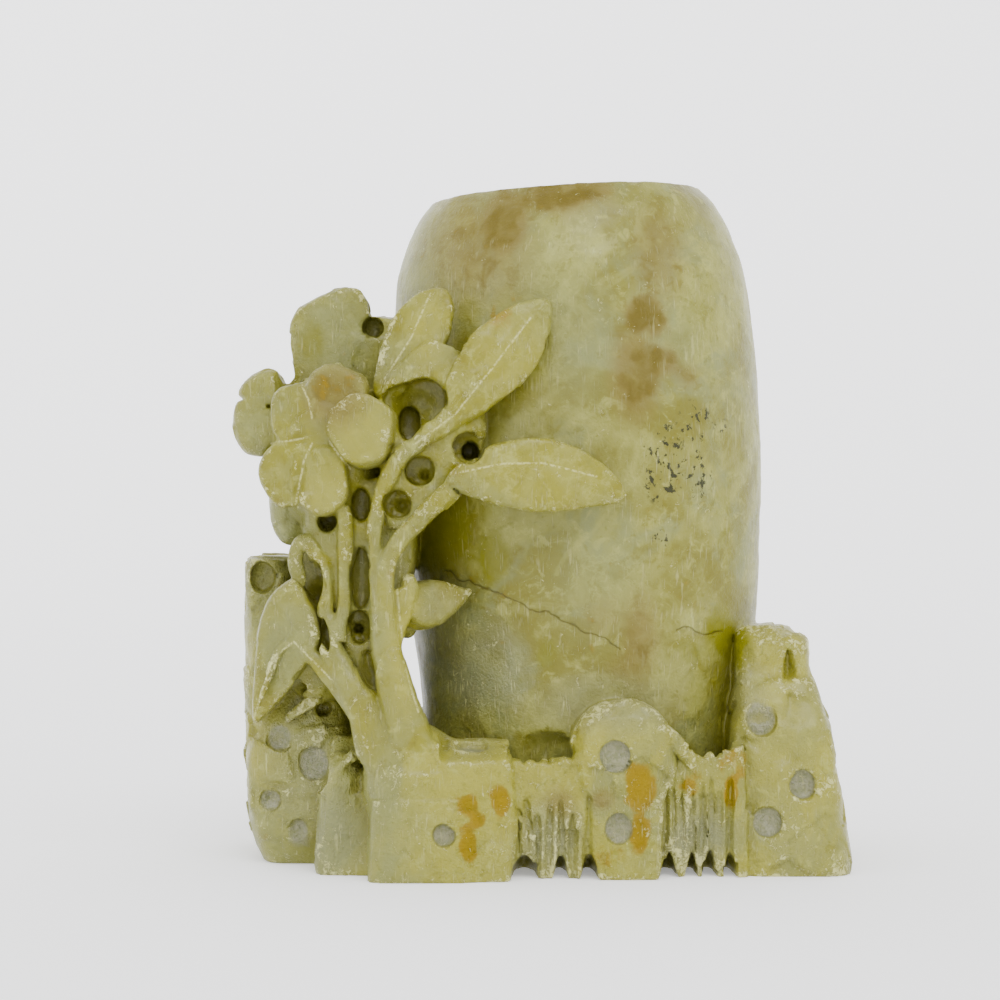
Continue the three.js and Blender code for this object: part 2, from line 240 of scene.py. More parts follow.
def turned(radius: Array, z: Array, half_width: float, half_depth: float) -> Array:
    """Turn a profile into the vessel's oval.

    A ring at height z is an oval of the half sizes times the radius, about the leaning axis, and near the
    top it rises to the right by LIP_SLOPE.

    Args:
        radius: Share of the half sizes, a row each.
        z: Height of each row.
        half_width: Half size along X.
        half_depth: Half size along Y.

    Returns:
        The surface as rows by sides by three.
    """
    turn = around(160)[None, :]
    x = radius[:, None] * half_width * np.cos(turn) + axis_x(z)[:, None]
    y = radius[:, None] * half_depth * np.sin(turn)
    near_top = np.clip((z / HEIGHT - 0.75) / 0.25, 0, 1)[:, None]
    lift = LIP_SLOPE * x * near_top**2 * (3 - 2 * near_top)
    return np.stack([x, y, z[:, None] + lift], axis=-1)


@dataclass
class Rock:
    """A prism on a squared oval plan that draws in towards its top.

    foot draws its underside in, taper narrows it all the way up, lean shifts its top sideways by a share
    of its half width, and tilt raises its top's right side by that many millimetres.
    """

    x: Span
    y: Span
    top: float
    square: float = 4.0
    foot: float = 1.0
    draw_in: float = 0.82
    taper: float = 0.0
    lean: float = 0.0
    tilt: float = 0.0
    low: float = 0.0

    def surface(self) -> Array:
        """Give the prism's surface: each row is the plan times the width at that share of the height."""
        rise = np.concatenate([np.linspace(0, 0.86, 14), 0.86 + 0.14 * np.sin(np.linspace(0.15, 1.57, 10))])
        width = np.interp(rise, [0, 0.1, 0.22, 0.6, 0.86, 0.95, 1.0], self._widths())
        width = width * (1 - self.taper * rise)
        turn = around(72)[None, :]
        across, along = squared(np.cos(turn), self.square), squared(np.sin(turn), self.square)
        half_x, half_y = (self.x[1] - self.x[0]) / 2, (self.y[1] - self.y[0]) / 2
        x = sum(self.x) / 2 + half_x * (across * width[:, None] + self.lean * rise[:, None])
        y = sum(self.y) / 2 + half_y * along * width[:, None]
        z = self.low + rise[:, None] * (self.top - self.low + self.tilt * across)
        return np.stack([x, y, z], axis=-1)

    def _widths(self) -> list[float]:
        """Give the widths at the heights where the sides turn."""
        half_way = (1 + self.draw_in) / 2
        return [self.foot, (self.foot + 1) / 2 + 0.02, 1.0, 0.985, half_way, half_way * 0.96, self.draw_in]


@dataclass
class Leaf:
    """A leaf or petal: a flat squared oval carried from base to tip.

    Its width follows the share of the way to the power fullest in a half sine, raised to blunt. bow lifts
    its middle towards the viewer, sweep bends it sideways, crown rounds its face, dish sinks the face's
    middle and rib raises a line along it.
    """

    base: Point
    tip: Point
    half_width: float
    thickness: float = 3.2
    bow: float = 0.0
    sweep: float = 0.0
    fullest: float = 1.0
    blunt: float = 0.8
    face: Point = (0, -1, 0)
    crown: float = 0.25
    dish: float = 0.25
    rib: float = 0.5
    rib_width: float = 0.6
    square: float = 4.6

    def surface(self) -> Array:
        """Give the leaf's surface, with the rib, crown and dish as relief on its face."""
        share = (1 - np.cos(np.linspace(0.0, math.pi, 72))) / 2
        arch = 4 * share * (1 - share)
        start, end = np.array(self.base, float), np.array(self.tip, float)
        along = end - start
        side = unit(np.cross(along, np.array(self.face, float)))
        front = unit(np.cross(side, along))
        path = start + share[:, None] * along
        path = path + (self.sweep * arch)[:, None] * side + (self.bow * arch)[:, None] * front
        swell = np.sin(math.pi * share**self.fullest) ** self.blunt
        wide = self.half_width * np.maximum(swell, 0.02)
        deep = self.thickness / 2 * np.maximum(np.minimum(1, 2.5 * np.sqrt(arch)), 0.05)
        angle = around(96)
        across = squared(np.cos(angle), self.square)[None, :]
        off = np.abs(across) * wide[:, None]
        fade = np.clip(arch[:, None] * 4, 0, 1)
        relief = self.crown * (1 - across**2) - self.dish * (1 - across**4) * fade
        relief = relief + self.rib * np.exp(-((off / self.rib_width) ** 2)) * fade
        return carried(path, wide, deep, self.square, self.face, len(angle), relief)


def oval(x: float, z: float, half_x: float, half_z: float, uneven: float = 0.04) -> list[Span]:
    """Give a slightly uneven oval outline about x and z, as points."""
    turn = around(14)
    size = 1 + uneven * np.sin(3 * turn + x) + uneven * np.sin(5 * turn + z)
    return list(zip(x + half_x * size * np.cos(turn), z + half_z * size * np.sin(turn)))


@dataclass
class Slab:
    """A flat form with an outline seen from the front.

    soften rounds the outline's corners, bevel eases the front edge, and tilt is how far the face goes back
    for each millimetre to the right and up. dish sinks the face's middle, and shift moves the back's
    outline, so that one side of the rim shows.
    """

    outline: list[Span]
    front: float
    back: float
    bevel: float = 0.9
    tilt: Span = (0.0, 0.0)
    dish: float = 0.0
    shift: Span = (0.0, 0.0)
    soften: float = 1.0

    def surface(self) -> Array:
        """Give the slab's surface: the outline scaled about its middle, row by row, from back to front."""
        given = np.array(self.outline)
        closed = np.vstack([given[-2:], given, given[:3]])
        count = 10 * len(given)
        smooth = smooth_line(closed, 10 * (len(closed) - 1) + 1)[20 : 20 + count]
        place = np.arange(count) / 10
        whole, f = place.astype(int), (place % 1)[:, None]
        straight = given[whole] * (1 - f) + given[(whole + 1) % len(given)] * f
        ring = self.soften * smooth + (1 - self.soften) * straight
        middle = ring.mean(axis=0)
        reach = np.linalg.norm(ring - middle, axis=1).mean()
        inset = 1 - self.bevel / reach
        eased = [(3 + inset) / 4, (1 + inset) / 2, inset]
        size = np.array([0.6, 0.97, 1.0, 1.0, *eased, 0.75 * inset, 0.4 * inset])
        depth = np.array([0.0, 0.0, 0.15, 1.0, 1.0, 1.0, 1.0, 1.0, 1.0])
        sunk = np.array([0.0, 0.0, 0.0, self.bevel, 0.45 * self.bevel, 0.15 * self.bevel, 0.0, 0.0, 0.0])
        flat = middle + (ring - middle) * size[:, None, None]
        flat = flat + (1 - depth)[:, None, None] * np.array(self.shift)
        away = flat - middle
        hollowed = self.dish * (1 - (size / inset).clip(0, 1) ** 2)
        face = self.front + away @ np.array(self.tilt) + hollowed[:, None]
        y = self.back + depth[:, None] * (face + sunk[:, None] - self.back)
        return np.stack([flat[..., 0], y, flat[..., 1]], axis=-1)


@dataclass
class Stem:
    """A bar along a smooth line through its points, with a radius at each point."""

    points: list[Point]
    radii: list[float]
    flat: float = 1.0

    def surface(self) -> Array:
        """Give the bar's surface: an oval as deep as flat times its width."""
        count = 14 * len(self.points)
        path = smooth_line(np.array(self.points), count)
        radius = smooth_line(np.array(self.radii)[:, None], count)[:, 0]
        return carried(path, radius, radius * self.flat, 2.8, sides=28)


@dataclass
class Band:
    """A web of stone behind the stems: a deep squared band along its points, with a half width at each."""

    points: list[Point]
    half_widths: list[float]
    half_depth: float

    def surface(self) -> Array:
        """Give the band's surface, square in section with soft corners."""
        count = 12 * len(self.points)
        path = smooth_line(np.array(self.points), count)
        wide = smooth_line(np.array(self.half_widths)[:, None], count)[:, 0]
        return carried(path, wide, np.full(count, self.half_depth), 6.0, sides=64)


@dataclass
class Hole:
    """A hole drilled from the front that ends at floor, with a slightly pointed end."""

    x: float
    z: float
    floor: float
    radius: float = 2.6
    tall: float = 1.0
    reach: float = 24.0
    tip: float = 0.5
    lean: float = 0.0

    def surface(self) -> Array:
        """Give the bit's surface: a round bar from in front to the floor, drawn in at its end."""
        depth = np.array([self.reach, 0.3, 0.0, -0.15, -self.tip])
        width = np.array([1.0, 1.0, 0.97, 0.8, 0.05])
        turn = around(36)[None, :]
        x = self.x + self.radius * width[:, None] * np.cos(turn)
        z = self.z + self.radius * self.tall * width[:, None] * np.sin(turn)
        y = self.floor - depth[:, None] + 0 * turn
        return np.stack([x + self.lean * (z - self.z), y, z], axis=-1)


# ---------------------------------------------------------------- the block that carries the forms


@dataclass
class StoneBlock:
    """A block of signed distances that surfaces are added to and cut from."""

    low: Point = (-65.0, -41.0, -3.0)
    high: Point = (48.0, 35.0, 123.0)
    voxel: float = 0.4
    band: float = 2.6
    distance: Array = field(init=False)
    kind: Array = field(init=False)

    def __post_init__(self) -> None:
        """Start with an empty block."""
        self.first = np.floor(np.array(self.low) / self.voxel).astype(int)
        last = np.ceil(np.array(self.high) / self.voxel).astype(int)
        shape = tuple(last - self.first + 1)
        self.distance = np.full(shape, self.band, np.float32)
        self.kind = np.zeros(shape, np.uint8)
        self.transform = openvdb.createLinearTransform(self.voxel)

    def _distances(self, surface: Array) -> tuple[tuple[slice, ...], Array]:
        """Work out the distances to one closed surface, negative inside.

        Args:
            surface: Rows by sides by three; each end is closed onto its middle.

        Returns:
            The part of the block that it touches, and the distances there.
        """
        ends = [np.broadcast_to(surface[i].mean(axis=0), surface[i].shape)[None] for i in (0, -1)]
        rows = np.concatenate([ends[0], surface, ends[1]])
        count, sides = rows.shape[:2]
        start = np.arange(count - 1)[:, None] * sides
        this, following = np.arange(sides)[None, :], (np.arange(sides)[None, :] + 1) % sides
        ahead = start + sides
        quads = np.stack([start + this, start + following, ahead + following, ahead + this], -1)
        grid = openvdb.FloatGrid.createLevelSetFromPolygons(
            rows.reshape(-1, 3).astype(np.float32),
            quads=quads.reshape(-1, 4).astype(np.uint32),
            transform=self.transform,
            halfWidth=self.band / self.voxel,
        )
        corner, far = (np.array(end) for end in grid.evalActiveVoxelBoundingBox())
        corner = np.maximum(corner, self.first)
        far = np.minimum(far, self.first + np.array(self.distance.shape) - 1)
        values = np.empty(tuple(far - corner + 1), np.float32)
        grid.copyToArray(values, ijk=tuple(int(i) for i in corner))
        where = tuple(slice(a, b) for a, b in zip(corner - self.first, far - self.first + 1))
        return where, values

    @staticmethod
    def _blend(a: Array, b: Array, soft: float, band: float) -> Array:
        """Take the smaller of two distances, rounded over where they differ by less than soft."""
        share = np.clip(0.5 + 0.5 * (b - a) / soft, 0, 1)
        near = (a < 0.98 * band) & (b < 0.98 * band)
        return b + (a - b) * share - np.where(near, soft * share * (1 - share), 0)

    def add(self, surface: Array, kind: Kind, soft: float = 0.5) -> None:
        """Join a form to the stone, with a fillet of about soft."""
        where, new = self._distances(surface)
        old = self.distance[where]
        self.kind[where] = np.where(new < old, np.uint8(kind), self.kind[where])
        self.distance[where] = self._blend(old, new, soft, self.band)

    def cut(self, surface: Array, soft: float = 0.4) -> None:
        """Cut a form out of the stone, with its rim eased by about soft."""
        where, new = self._distances(surface)
        self.distance[where] = -self._blend(-self.distance[where], new, soft, self.band)

    def skin(self) -> tuple[Array, Array]:
        """Give the stone's skin as points and quads with their faces outwards."""
        grid = openvdb.FloatGrid(self.band)
        grid.transform = self.transform
        grid.copyFromArray(self.distance, ijk=tuple(int(i) for i in self.first))
        points, quads = grid.convertToQuads(0.0)
        points, quads = points.astype(float), quads.astype(np.int64)
        a, b, c = (points[quads[:, i]] for i in range(3))
        if np.einsum("ij,ij->i", a, np.cross(b, c)).sum() < 0:
            quads = quads[:, ::-1]
        return points, quads

    def kind_at(self, points: Array) -> Array:
        """Give what the nearest place in the block is carved as."""
        cell = np.rint(points / self.voxel).astype(int) - self.first
        i, j, k = np.clip(cell, 0, np.array(self.kind.shape) - 1).T
        return self.kind[i, j, k]

    def read(self, values: Array, points: Array, step: float | None = None) -> Array:
        """Read a grid of values at points, blended from the eight nearest.

        Args:
            values: A grid over the block.
            points: Places in millimetres, one a row.
            step: The grid's spacing, the block's own if left out.

        Returns:
            One value for each point.
        """
        spacing = step or self.voxel
        place = (points - self.first * self.voxel) / spacing
        place = np.clip(place, 0, np.array(values.shape) - 1.001)
        cell = place.astype(int)
        f = place - cell
        total = np.zeros(len(points))
        for corner in np.ndindex(2, 2, 2):
            weight = np.prod(np.where(corner, f, 1 - f), axis=1)
            i, j, k = (cell + corner).T
            total += weight * values[i, j, k]
        return total

    def fullness(self, reach: float) -> tuple[Array, float]:
        """Work out how full of stone the surroundings of each place are.

        The share of stone is averaged twice over a box of reach each way, on a grid as coarse as that
        allows.

        Args:
            reach: Half size of the box in millimetres.

        Returns:
            The shares, and the spacing of their grid.
        """
        coarse = max(1, int(reach / 3 / self.voxel))
        solid = np.clip(0.5 - self.distance[::coarse, ::coarse, ::coarse] / self.voxel / coarse, 0, 1)
        half = max(1, round(reach / (self.voxel * coarse)))
        for _ in range(2):
            for axis in range(3):
                pad = [(0, 0)] * 3
                pad[axis] = (half + 1, half)
                total = np.cumsum(np.pad(solid, pad, mode="edge"), axis=axis, dtype=np.float32)
                size = solid.shape[axis]
                upper = np.take(total, np.arange(2 * half + 1, 2 * half + 1 + size), axis=axis)
                lower = np.take(total, np.arange(size), axis=axis)
                solid = (upper - lower) / (2 * half + 1)
        return solid, self.voxel * coarse


# ---------------------------------------------------------------- the carving


@dataclass
class Vessel:
    """The hollow oval pot: outside, well, and the small losses on its lip and side."""

    half_width: float = HALF_WIDTH
    half_depth: float = HALF_DEPTH
    outline: tuple[Span, ...] = (
        (0.87, 0.0), (0.895, 0.22), (0.955, 0.38), (0.997, 0.56), (0.998, 0.72), (0.965, 0.855),
        (0.9, 0.925), (0.82, 0.972), (0.735, 1.0),
    )

    def outside(self) -> Array:
        """Give the outside: the outline's radius at each height, turned about the leaning axis."""
        line = smooth_line(np.array(self.outline), 90)
        return turned(line[:, 0], line[:, 1] * HEIGHT, self.half_width, self.half_depth)

    def well(self) -> Array:
        """Give the well: a straight oval bore with a round corner at its flat floor."""
        lip = self.outline[-1][0]
        half_width, half_depth = self.half_width * lip - WALL, self.half_depth * lip - WALL
        corner = WELL_CORNER / half_depth
        arc = np.linspace(0, math.pi / 2, 10)
        radius = np.concatenate([[0.05], 1 - corner * (1 - np.sin(arc)), [1.0, 1.0]])
        rounded = WELL_FLOOR + WELL_CORNER * (1 - np.cos(arc))
        height = np.concatenate([[WELL_FLOOR], rounded, [70.0, HEIGHT + WALL]])
        return turned(radius, height, half_width, half_depth)

    def add_to(self, block: StoneBlock) -> None:
        """Lay the pot's outside into the block."""
        block.add(self.outside(), Kind.VESSEL)

    def hollow(self, block: StoneBlock) -> None:
        """Cut the well, the notch in the lip and the chips out of the block."""
        block.cut(self.well(), 1.6)
        block.cut(pebble((-6.5, -16.5, 118.6), (0.8, 4.0, 1.3), 1.8), 0.3)
        block.cut(pebble((-6.2, -17.6, 118.6), (0.7, 3.0, 1.5), 2.0), 0.5)
        block.cut(pebble((-3.4, -18.4, 119.4), (2.6, 2.4, 1.0), 2.0), 0.6)
        block.cut(pebble((32.4, -2.0, 59.8), (1.5, 4.5, 2.4), 2.6), 0.6)


@dataclass
class Base:
    """The rocky base: ledge, rocks all round, the round-topped middle rock, discs and grass cuts."""

    rocks: list[Rock] = several(
        Rock((-55.4, 39.8), (-19.4, 28.4), MOAT_FLOOR), Rock((-46.3, 32.6), (-31.3, 10.8), MOAT_FLOOR),
        Rock((-59.4, -48.9), (-16.7, 8.1), 52.9, square=3, foot=0.6, lean=-0.35),
        Rock((-59.7, -39.1), (-20.0, 14.9), 34.1, foot=0.76, draw_in=0.7, tilt=-2.35),
        Rock((-46.0, -34.6), (-26.2, -2.7), 22.3, draw_in=0.7, taper=0.1),
        Rock((-46.8, -36.0), (-28.8, -10.8), 17.0, square=5, draw_in=0.8, taper=0.1),
        Rock((-37.5, -19.6), (-37.0, -24.3), 13.4, square=6, draw_in=0.92),
        Rock((-28.0, -12.7), (-36.0, -24.3), 22.8, square=4.5, draw_in=0.84),
        Rock((-15.0, 0.7), (-33.0, -27.0), 19.6, square=6, draw_in=0.9),
        Rock((-1.3, 11.7), (-33.7, -25.7), 20.0, square=6, draw_in=0.92),
        Rock((9.8, 26.1), (-31.3, -24.3), 20.6, square=6, draw_in=0.9, tilt=1.4),
        Rock((24.0, 44.3), (-30.0, 12.2), 40.9, square=6, draw_in=0.5, taper=0.22, lean=-0.28),
        Rock((25.0, 29.4), (-21.0, -6.0), 40.4, square=3, draw_in=0.5, low=28.0),
        Rock((-44.0, -17.9), (5.4, 30.2), 23.5, tilt=2.3), Rock((-21.2, 9.8), (14.9, 31.2), 18.8, square=5),
        Rock((6.5, 35.9), (8.1, 29.2), 24.7, tilt=1.8),
    )
    boulders: list[tuple[Point, Point, float]] = several(
        ((13.0, -27.5, 17.6), (5.2, 3.2, 5.3), 2.4), ((-30.3, -28.4, 16.0), (8.4, 8.0, 9.6), 2.2),
        ((-54.5, -14.0, 16.0), (5.0, 6.4, 9.0), 2.6), ((-42.5, -24.6, 14.0), (4.2, 4.4, 6.4), 2.2),
    )
    ridges: list[Stem] = several(
        Stem(
            [(10.5, -32.2, 25.0), (13.4, -32.0, 23.0), (15.6, -31.6, 20.6), (17.4, -31.0, 17.6)],
            [1.3, 1.2, 1.0, 0.4],
        ),
        Stem(
            [(-37.0, -28.0, 20.8), (-40.0, -28.2, 20.2), (-42.6, -28.4, 17.6), (-43.6, -28.4, 14.6)],
            [0.9, 0.9, 0.8, 0.5],
        ),
        Stem([(-52.5, -19.6, 25.2), (-48.5, -20.2, 28.0), (-44.5, -20.4, 30.2)], [0.7, 0.8, 0.7]),
    )
    discs: list[Hole] = several(
        Hole(-53.4, 22.2, -18.9, 2.0, 1.1, 6), Hole(-47.4, 17.8, -19.0, 2.6, 1.2, 9),
        Hole(-55.0, 11.4, -18.7, 1.8, 1.0, 6), Hole(-50.1, 5.8, -19.1, 1.7, 1.4, 6),
        Hole(-24.7, 7.8, -35.6, 1.9, 1.0, 6), Hole(3.6, 20.4, -32.7, 2.85, 1.0, 6),
        Hole(4.2, 8.6, -32.5, 2.4, 1.15, 6), Hole(28.6, 26.0, -25.2, 2.5, 1.15, 6),
        Hole(35.4, 15.1, -26.7, 2.3, 1.15, 6), Hole(29.5, 8.8, -27.8, 2.6, 1.0, 6),
    )
    disc_ledge: Point = (-20.2, -31.0, 21.9)
    moat_hollows: list[tuple[Point, Point]] = several(
        ((-8.4, -25.6, 19.4), (5.6, 4.4, 4.4)), ((18.6, -24.6, 20.6), (5.4, 4.8, 3.8)),
    )
    left_slots: list[tuple[Point, Point]] = several(
        ((-45.6, -24.0, 17.0), (1.7, 5.0, 3.6)), ((-54.5, -20.5, 13.6), (3.4, 1.3, 1.2)),
    )
    right_slot: tuple[Point, Point] = ((33.8, -24.0, 35.4), (1.25, 4.8, 3.3))
    pits: list[Hole] = several(
        Hole(-45.9, 27.0, -15.5, 1.3, 1.0), Hole(-56.9, 49.6, -12.0, 2.0, 1.3),
    )
    grooves: list[tuple[float, float, float]] = several(
        (-12.6, -33.3, 12.0), (-10.9, -33.4, 13.5), (-9.2, -33.2, 11.0), (-7.4, -33.3, 12.6),
        (-5.4, -33.3, 13.4), (-3.3, -33.2, 11.4), (-1.0, -33.6, 14.0), (11.9, -31.8, 17.6),
        (13.5, -31.7, 16.0), (15.1, -31.6, 17.2), (16.6, -31.6, 14.8), (18.1, -31.6, 16.2),
        (19.7, -31.6, 17.4), (21.3, -31.6, 15.0), (22.9, -31.4, 16.8),
    )
    notches: list[tuple[float, float, float]] = several(
        (-11.4, 2.2, 4.2), (-5.4, 1.3, 4.0), (-0.6, 1.4, 4.0), (12.7, 1.6, 5.2), (16.5, 1.1, 4.6),
        (19.6, 1.3, 5.0), (23.0, 1.0, 4.4),
    )
    jags: list[Span] = several(
        (-13.6, 20.3), (-11.6, 19.9), (-9.3, 20.2), (-7.4, 20.1), (-5.2, 20.6), (-3.6, 20.4), (18.3, 20.9),
        (20.6, 21.0), (22.9, 22.0),
    )

    def add_to(self, block: StoneBlock) -> None:
        """Lay the rocks, boulders and ridges into the block."""
        for rock in self.rocks:
            block.add(rock.surface(), Kind.ROCK, 0.7)
        for middle, half, square in self.boulders:
            block.add(pebble(middle, half, square), Kind.ROCK, 1.0)
        for ridge in self.ridges:
            block.add(ridge.surface(), Kind.ROCK, 0.8)
        block.add(self.arch(), Kind.ROCK, 0.5)

    def cut_from(self, block: StoneBlock) -> None:
        """Cut the discs, pits, shelf, grass, notches and slots out of the block."""
        for disc in self.discs:
            block.cut(disc.surface(), 0.25)
        for pit in self.pits:
            block.cut(pit.surface(), 0.5)
        block.cut(self.shelf(), 0.5)
        block.cut(pebble(self.disc_ledge, (2.6, 2.2, 0.8), 3.0), 0.3)
        for middle, half in self.moat_hollows:
            block.cut(pebble(middle, half, 3.0), 0.6)
        for x, y, top in self.grooves:
            block.cut(self.groove(x, y, top), 0.4)
        for x, half_width, tall in self.notches:
            block.cut(pebble((x, -34.0, 0.0), (half_width, 14.0, tall), 1.8), 0.5)
        for x, z in self.jags:
            block.cut(pebble((x, -31.0, z + 0.4), (0.8, 6.0, 1.5), 1.4), 0.4)
        for middle, half in self.left_slots:
            block.cut(pebble(middle, half, 2.2), 0.6)
        middle, half = self.right_slot
        block.cut(pebble(middle, half, 2.4), 0.5)

    @staticmethod
    def groove(x: float, y: float, top: float) -> Array:
        """Give one upright groove of the grass: widest and deepest at the underside, a point at the top."""
        rise = np.linspace(0, 1, 24)
        wide = 0.85 * (1 - rise) ** 0.3 + 0.05
        path = np.stack([x + 0.25 * np.sin(2.5 * rise + x), y + 0.5 * rise, -2 + rise * (top + 2)], -1)
        return carried(path, wide, wide * 1.8, 1.8, sides=24)

    @staticmethod
    def shelf() -> Array:
        """Give the slab whose sloping underside cuts the shelf in front of the branch's foot."""
        path = np.array([(-25.4, -33.1, 25.2), (-19.0, -33.1, 25.2), (-11.4, -33.1, 25.2)])
        return carried(path, np.full(3, 8.0), np.full(3, 4.0), 12.0, face=(0, -0.41, 0.91), sides=48)

    @staticmethod
    def arch() -> Array:
        """Give the round-topped middle rock: an arch on its side, chamfered round its front face."""
        y = np.array([-24.2, -26.0, -30.0, -31.6, -32.0, -34.0])
        size = np.array([1.0, 1.0, 1.0, 0.99, 0.97, 0.77])
        path = np.stack([np.full_like(y, 4.9), y, np.full_like(y, 19.4)], -1)
        return carried(path, 8.7 * size, 10.0 * size, 2.3, face=(0, 0, 1), sides=64)


@dataclass
class Branch:
    """The flowering branch: webs and masses behind, stems, leaves, bud, flower and drilled holes."""

    webs: list[Band] = several(
        Band(
            [
                (-36.0, -17.5, 19.0), (-37.8, -17.5, 35.0), (-38.0, -17.5, 45.0), (-39.0, -17.5, 55.0),
                (-40.8, -17.5, 66.0),
            ],
            [3.2, 4.0, 6.6, 9.4, 8.8], 9.5,
        ),
        Band(
            [
                (-32.0, -20.8, 58.0), (-31.0, -20.8, 63.0), (-28.6, -20.8, 69.0), (-27.4, -20.8, 75.0),
                (-27.6, -20.0, 81.0), (-25.2, -19.0, 88.0),
            ],
            [2.6, 5.0, 7.8, 9.4, 7.6, 3.2], 10.0,
        ),
    )
    masses: list[tuple[Point, Point]] = several(
        ((-45.0, -19.4, 72.9), (9.4, 10.3, 14.0)), ((-37.2, -13.5, 81.0), (8.5, 9.5, 14.0)),
        ((-35.9, -9.2, 91.0), (8.5, 4.4, 4.2)), ((-55.0, -17.5, 77.6), (4.6, 4.4, 6.0)),
        ((-30.6, -29.6, 48.0), (1.5, 2.0, 2.6)), ((-30.4, -19.0, 22.0), (2.6, 7.0, 5.0)),
        ((-31.4, -21.6, 42.4), (1.8, 4.0, 3.0)), ((-46.8, -9.0, 48.6), (5.0, 3.0, 8.0)),
        ((-51.2, -16.7, 65.8), (4.3, 6.0, 10.6)), ((-46.3, -16.2, 37.0), (6.5, 8.1, 8.8)),
    )
    stems: list[Stem] = several(
        Stem(
            [
                (-29.0, -31.0, 15.0), (-30.4, -31.6, 23.1), (-32.3, -32.0, 29.7), (-34.1, -32.0, 36.4),
                (-34.7, -32.0, 43.0), (-34.7, -32.0, 49.7), (-33.8, -32.3, 53.7), (-31.6, -32.8, 56.8),
                (-28.2, -33.4, 60.3), (-23.4, -33.8, 64.9),
            ],
            [4.4, 3.7, 3.2, 2.6, 2.1, 1.5, 1.4, 1.5, 1.6, 1.7],
        ),
        Stem(
            [
                (-35.4, -31.6, 38.0), (-36.0, -31.4, 46.0), (-36.3, -31.3, 55.0), (-35.8, -31.5, 61.5),
                (-33.2, -32.0, 68.3), (-29.4, -32.3, 72.4), (-25.6, -32.0, 76.4),
            ],
            [1.6, 1.2, 1.2, 1.4, 1.5, 1.5, 1.2],
        ),
        Stem(
            [
                (-33.0, -30.6, 15.0), (-35.9, -31.0, 21.5), (-37.9, -31.0, 27.9), (-41.0, -30.0, 33.2),
                (-43.7, -29.0, 37.8), (-44.6, -28.0, 42.3), (-44.9, -27.2, 47.1), (-45.4, -26.6, 52.1),
                (-47.3, -26.0, 55.4), (-49.4, -25.4, 55.4), (-50.2, -24.6, 52.4), (-49.0, -24.0, 48.4),
            ],
            [3.4, 3.2, 3.0, 2.5, 1.8, 1.4, 1.3, 1.3, 1.3, 1.2, 1.2, 1.2],
        ),
        Stem(
            [(-41.6, -27.4, 62.0), (-41.5, -27.8, 54.0), (-41.5, -28.2, 46.0), (-42.6, -29.0, 39.5)],
            [1.4, 1.3, 1.3, 1.5],
        ),
        Stem(
            [
                (-39.6, -30.8, 29.0), (-43.6, -29.0, 33.0), (-46.6, -27.8, 36.2), (-50.0, -27.2, 39.0),
                (-52.6, -27.0, 37.8), (-54.6, -26.8, 33.0), (-56.2, -26.3, 27.8),
            ],
            [2.0, 1.6, 1.2, 0.9, 0.7, 0.6, 0.4],
        ),
        Stem(
            [(-34.2, -31.4, 36.6), (-32.6, -31.2, 40.6), (-31.4, -30.8, 44.4), (-31.8, -30.4, 48.2)],
            [1.3, 1.2, 1.4, 1.2],
        ),
    )
    leaves: list[Leaf] = several(
        Leaf((-36.4, -25.9, 79.6), (-24.6, -24.3, 98.8), 5.2, fullest=1.3, blunt=0.6, face=(-0.25, -1, 0)),
        Leaf((-28.8, -31.3, 71.6), (-7.3, -27.2, 96.6), 5.8, fullest=1.45, blunt=0.7, bow=0.8),
        Leaf((-24.6, -33.5, 66.0), (5.7, -30.2, 63.6), 6.1, fullest=0.95, blunt=0.75, bow=1.4, sweep=-2.4),
        Leaf(
            (-32.0, -29.0, 44.2), (-21.4, -20.8, 47.2), 4.1, thickness=4.5, fullest=0.62, rib=0.1,
            crown=0.6, dish=0.0,
        ),
    )
    slabs: list[Slab] = several(
        Slab(
            [
                (-50.9, 49.6), (-54.6, 46.4), (-56.5, 41.8), (-57.2, 34.1), (-57.7, 26.4), (-56.9, 25.0),
                (-54.6, 27.2), (-51.2, 31.0), (-48.7, 34.6), (-45.8, 39.4), (-47.0, 44.6), (-48.6, 47.6),
            ],
            -26.6, -17.0, bevel=1.1, tilt=(-0.38, -0.05), soften=0.8,
        ),
        Slab(
            [
                (-49.6, 81.0), (-50.8, 83.6), (-51.4, 86.9), (-52.0, 89.7), (-51.8, 93.5), (-50.4, 96.3),
                (-44.6, 99.2), (-42.3, 99.7), (-39.8, 99.3), (-38.4, 97.0), (-37.6, 92.0), (-38.4, 86.0),
                (-40.0, 80.0),
            ],
            -19.2, -11.5, bevel=1.5, tilt=(-0.14, 0.08), soften=0.25,
        ),
        Slab(
            [
                (-60.4, 81.0), (-60.0, 82.8), (-57.9, 84.5), (-55.4, 85.5), (-53.8, 85.0), (-52.6, 82.6),
                (-52.0, 79.0), (-57.0, 79.0),
            ],
            -21.8, -13.0, bevel=1.5, tilt=(-0.3, 0.2), soften=0.4,
        ),
        Slab(
            [(-60.6, 79.8), (-61.0, 77.0), (-57.0, 78.4), (-52.0, 80.4), (-52.0, 77.0), (-55.4, 81.4)],
            -22.6, -14.0, bevel=0.9, tilt=(-0.3, 0.0), soften=0.4,
        ),
        Slab(
            [
                (-60.8, 78.0), (-61.2, 75.4), (-60.6, 72.8), (-59.0, 71.0), (-56.2, 70.6), (-53.2, 72.8),
                (-52.0, 77.6), (-56.4, 79.0),
            ],
            -22.6, -13.0, bevel=1.6, tilt=(-0.3, -0.2), soften=0.4,
        ),
    )
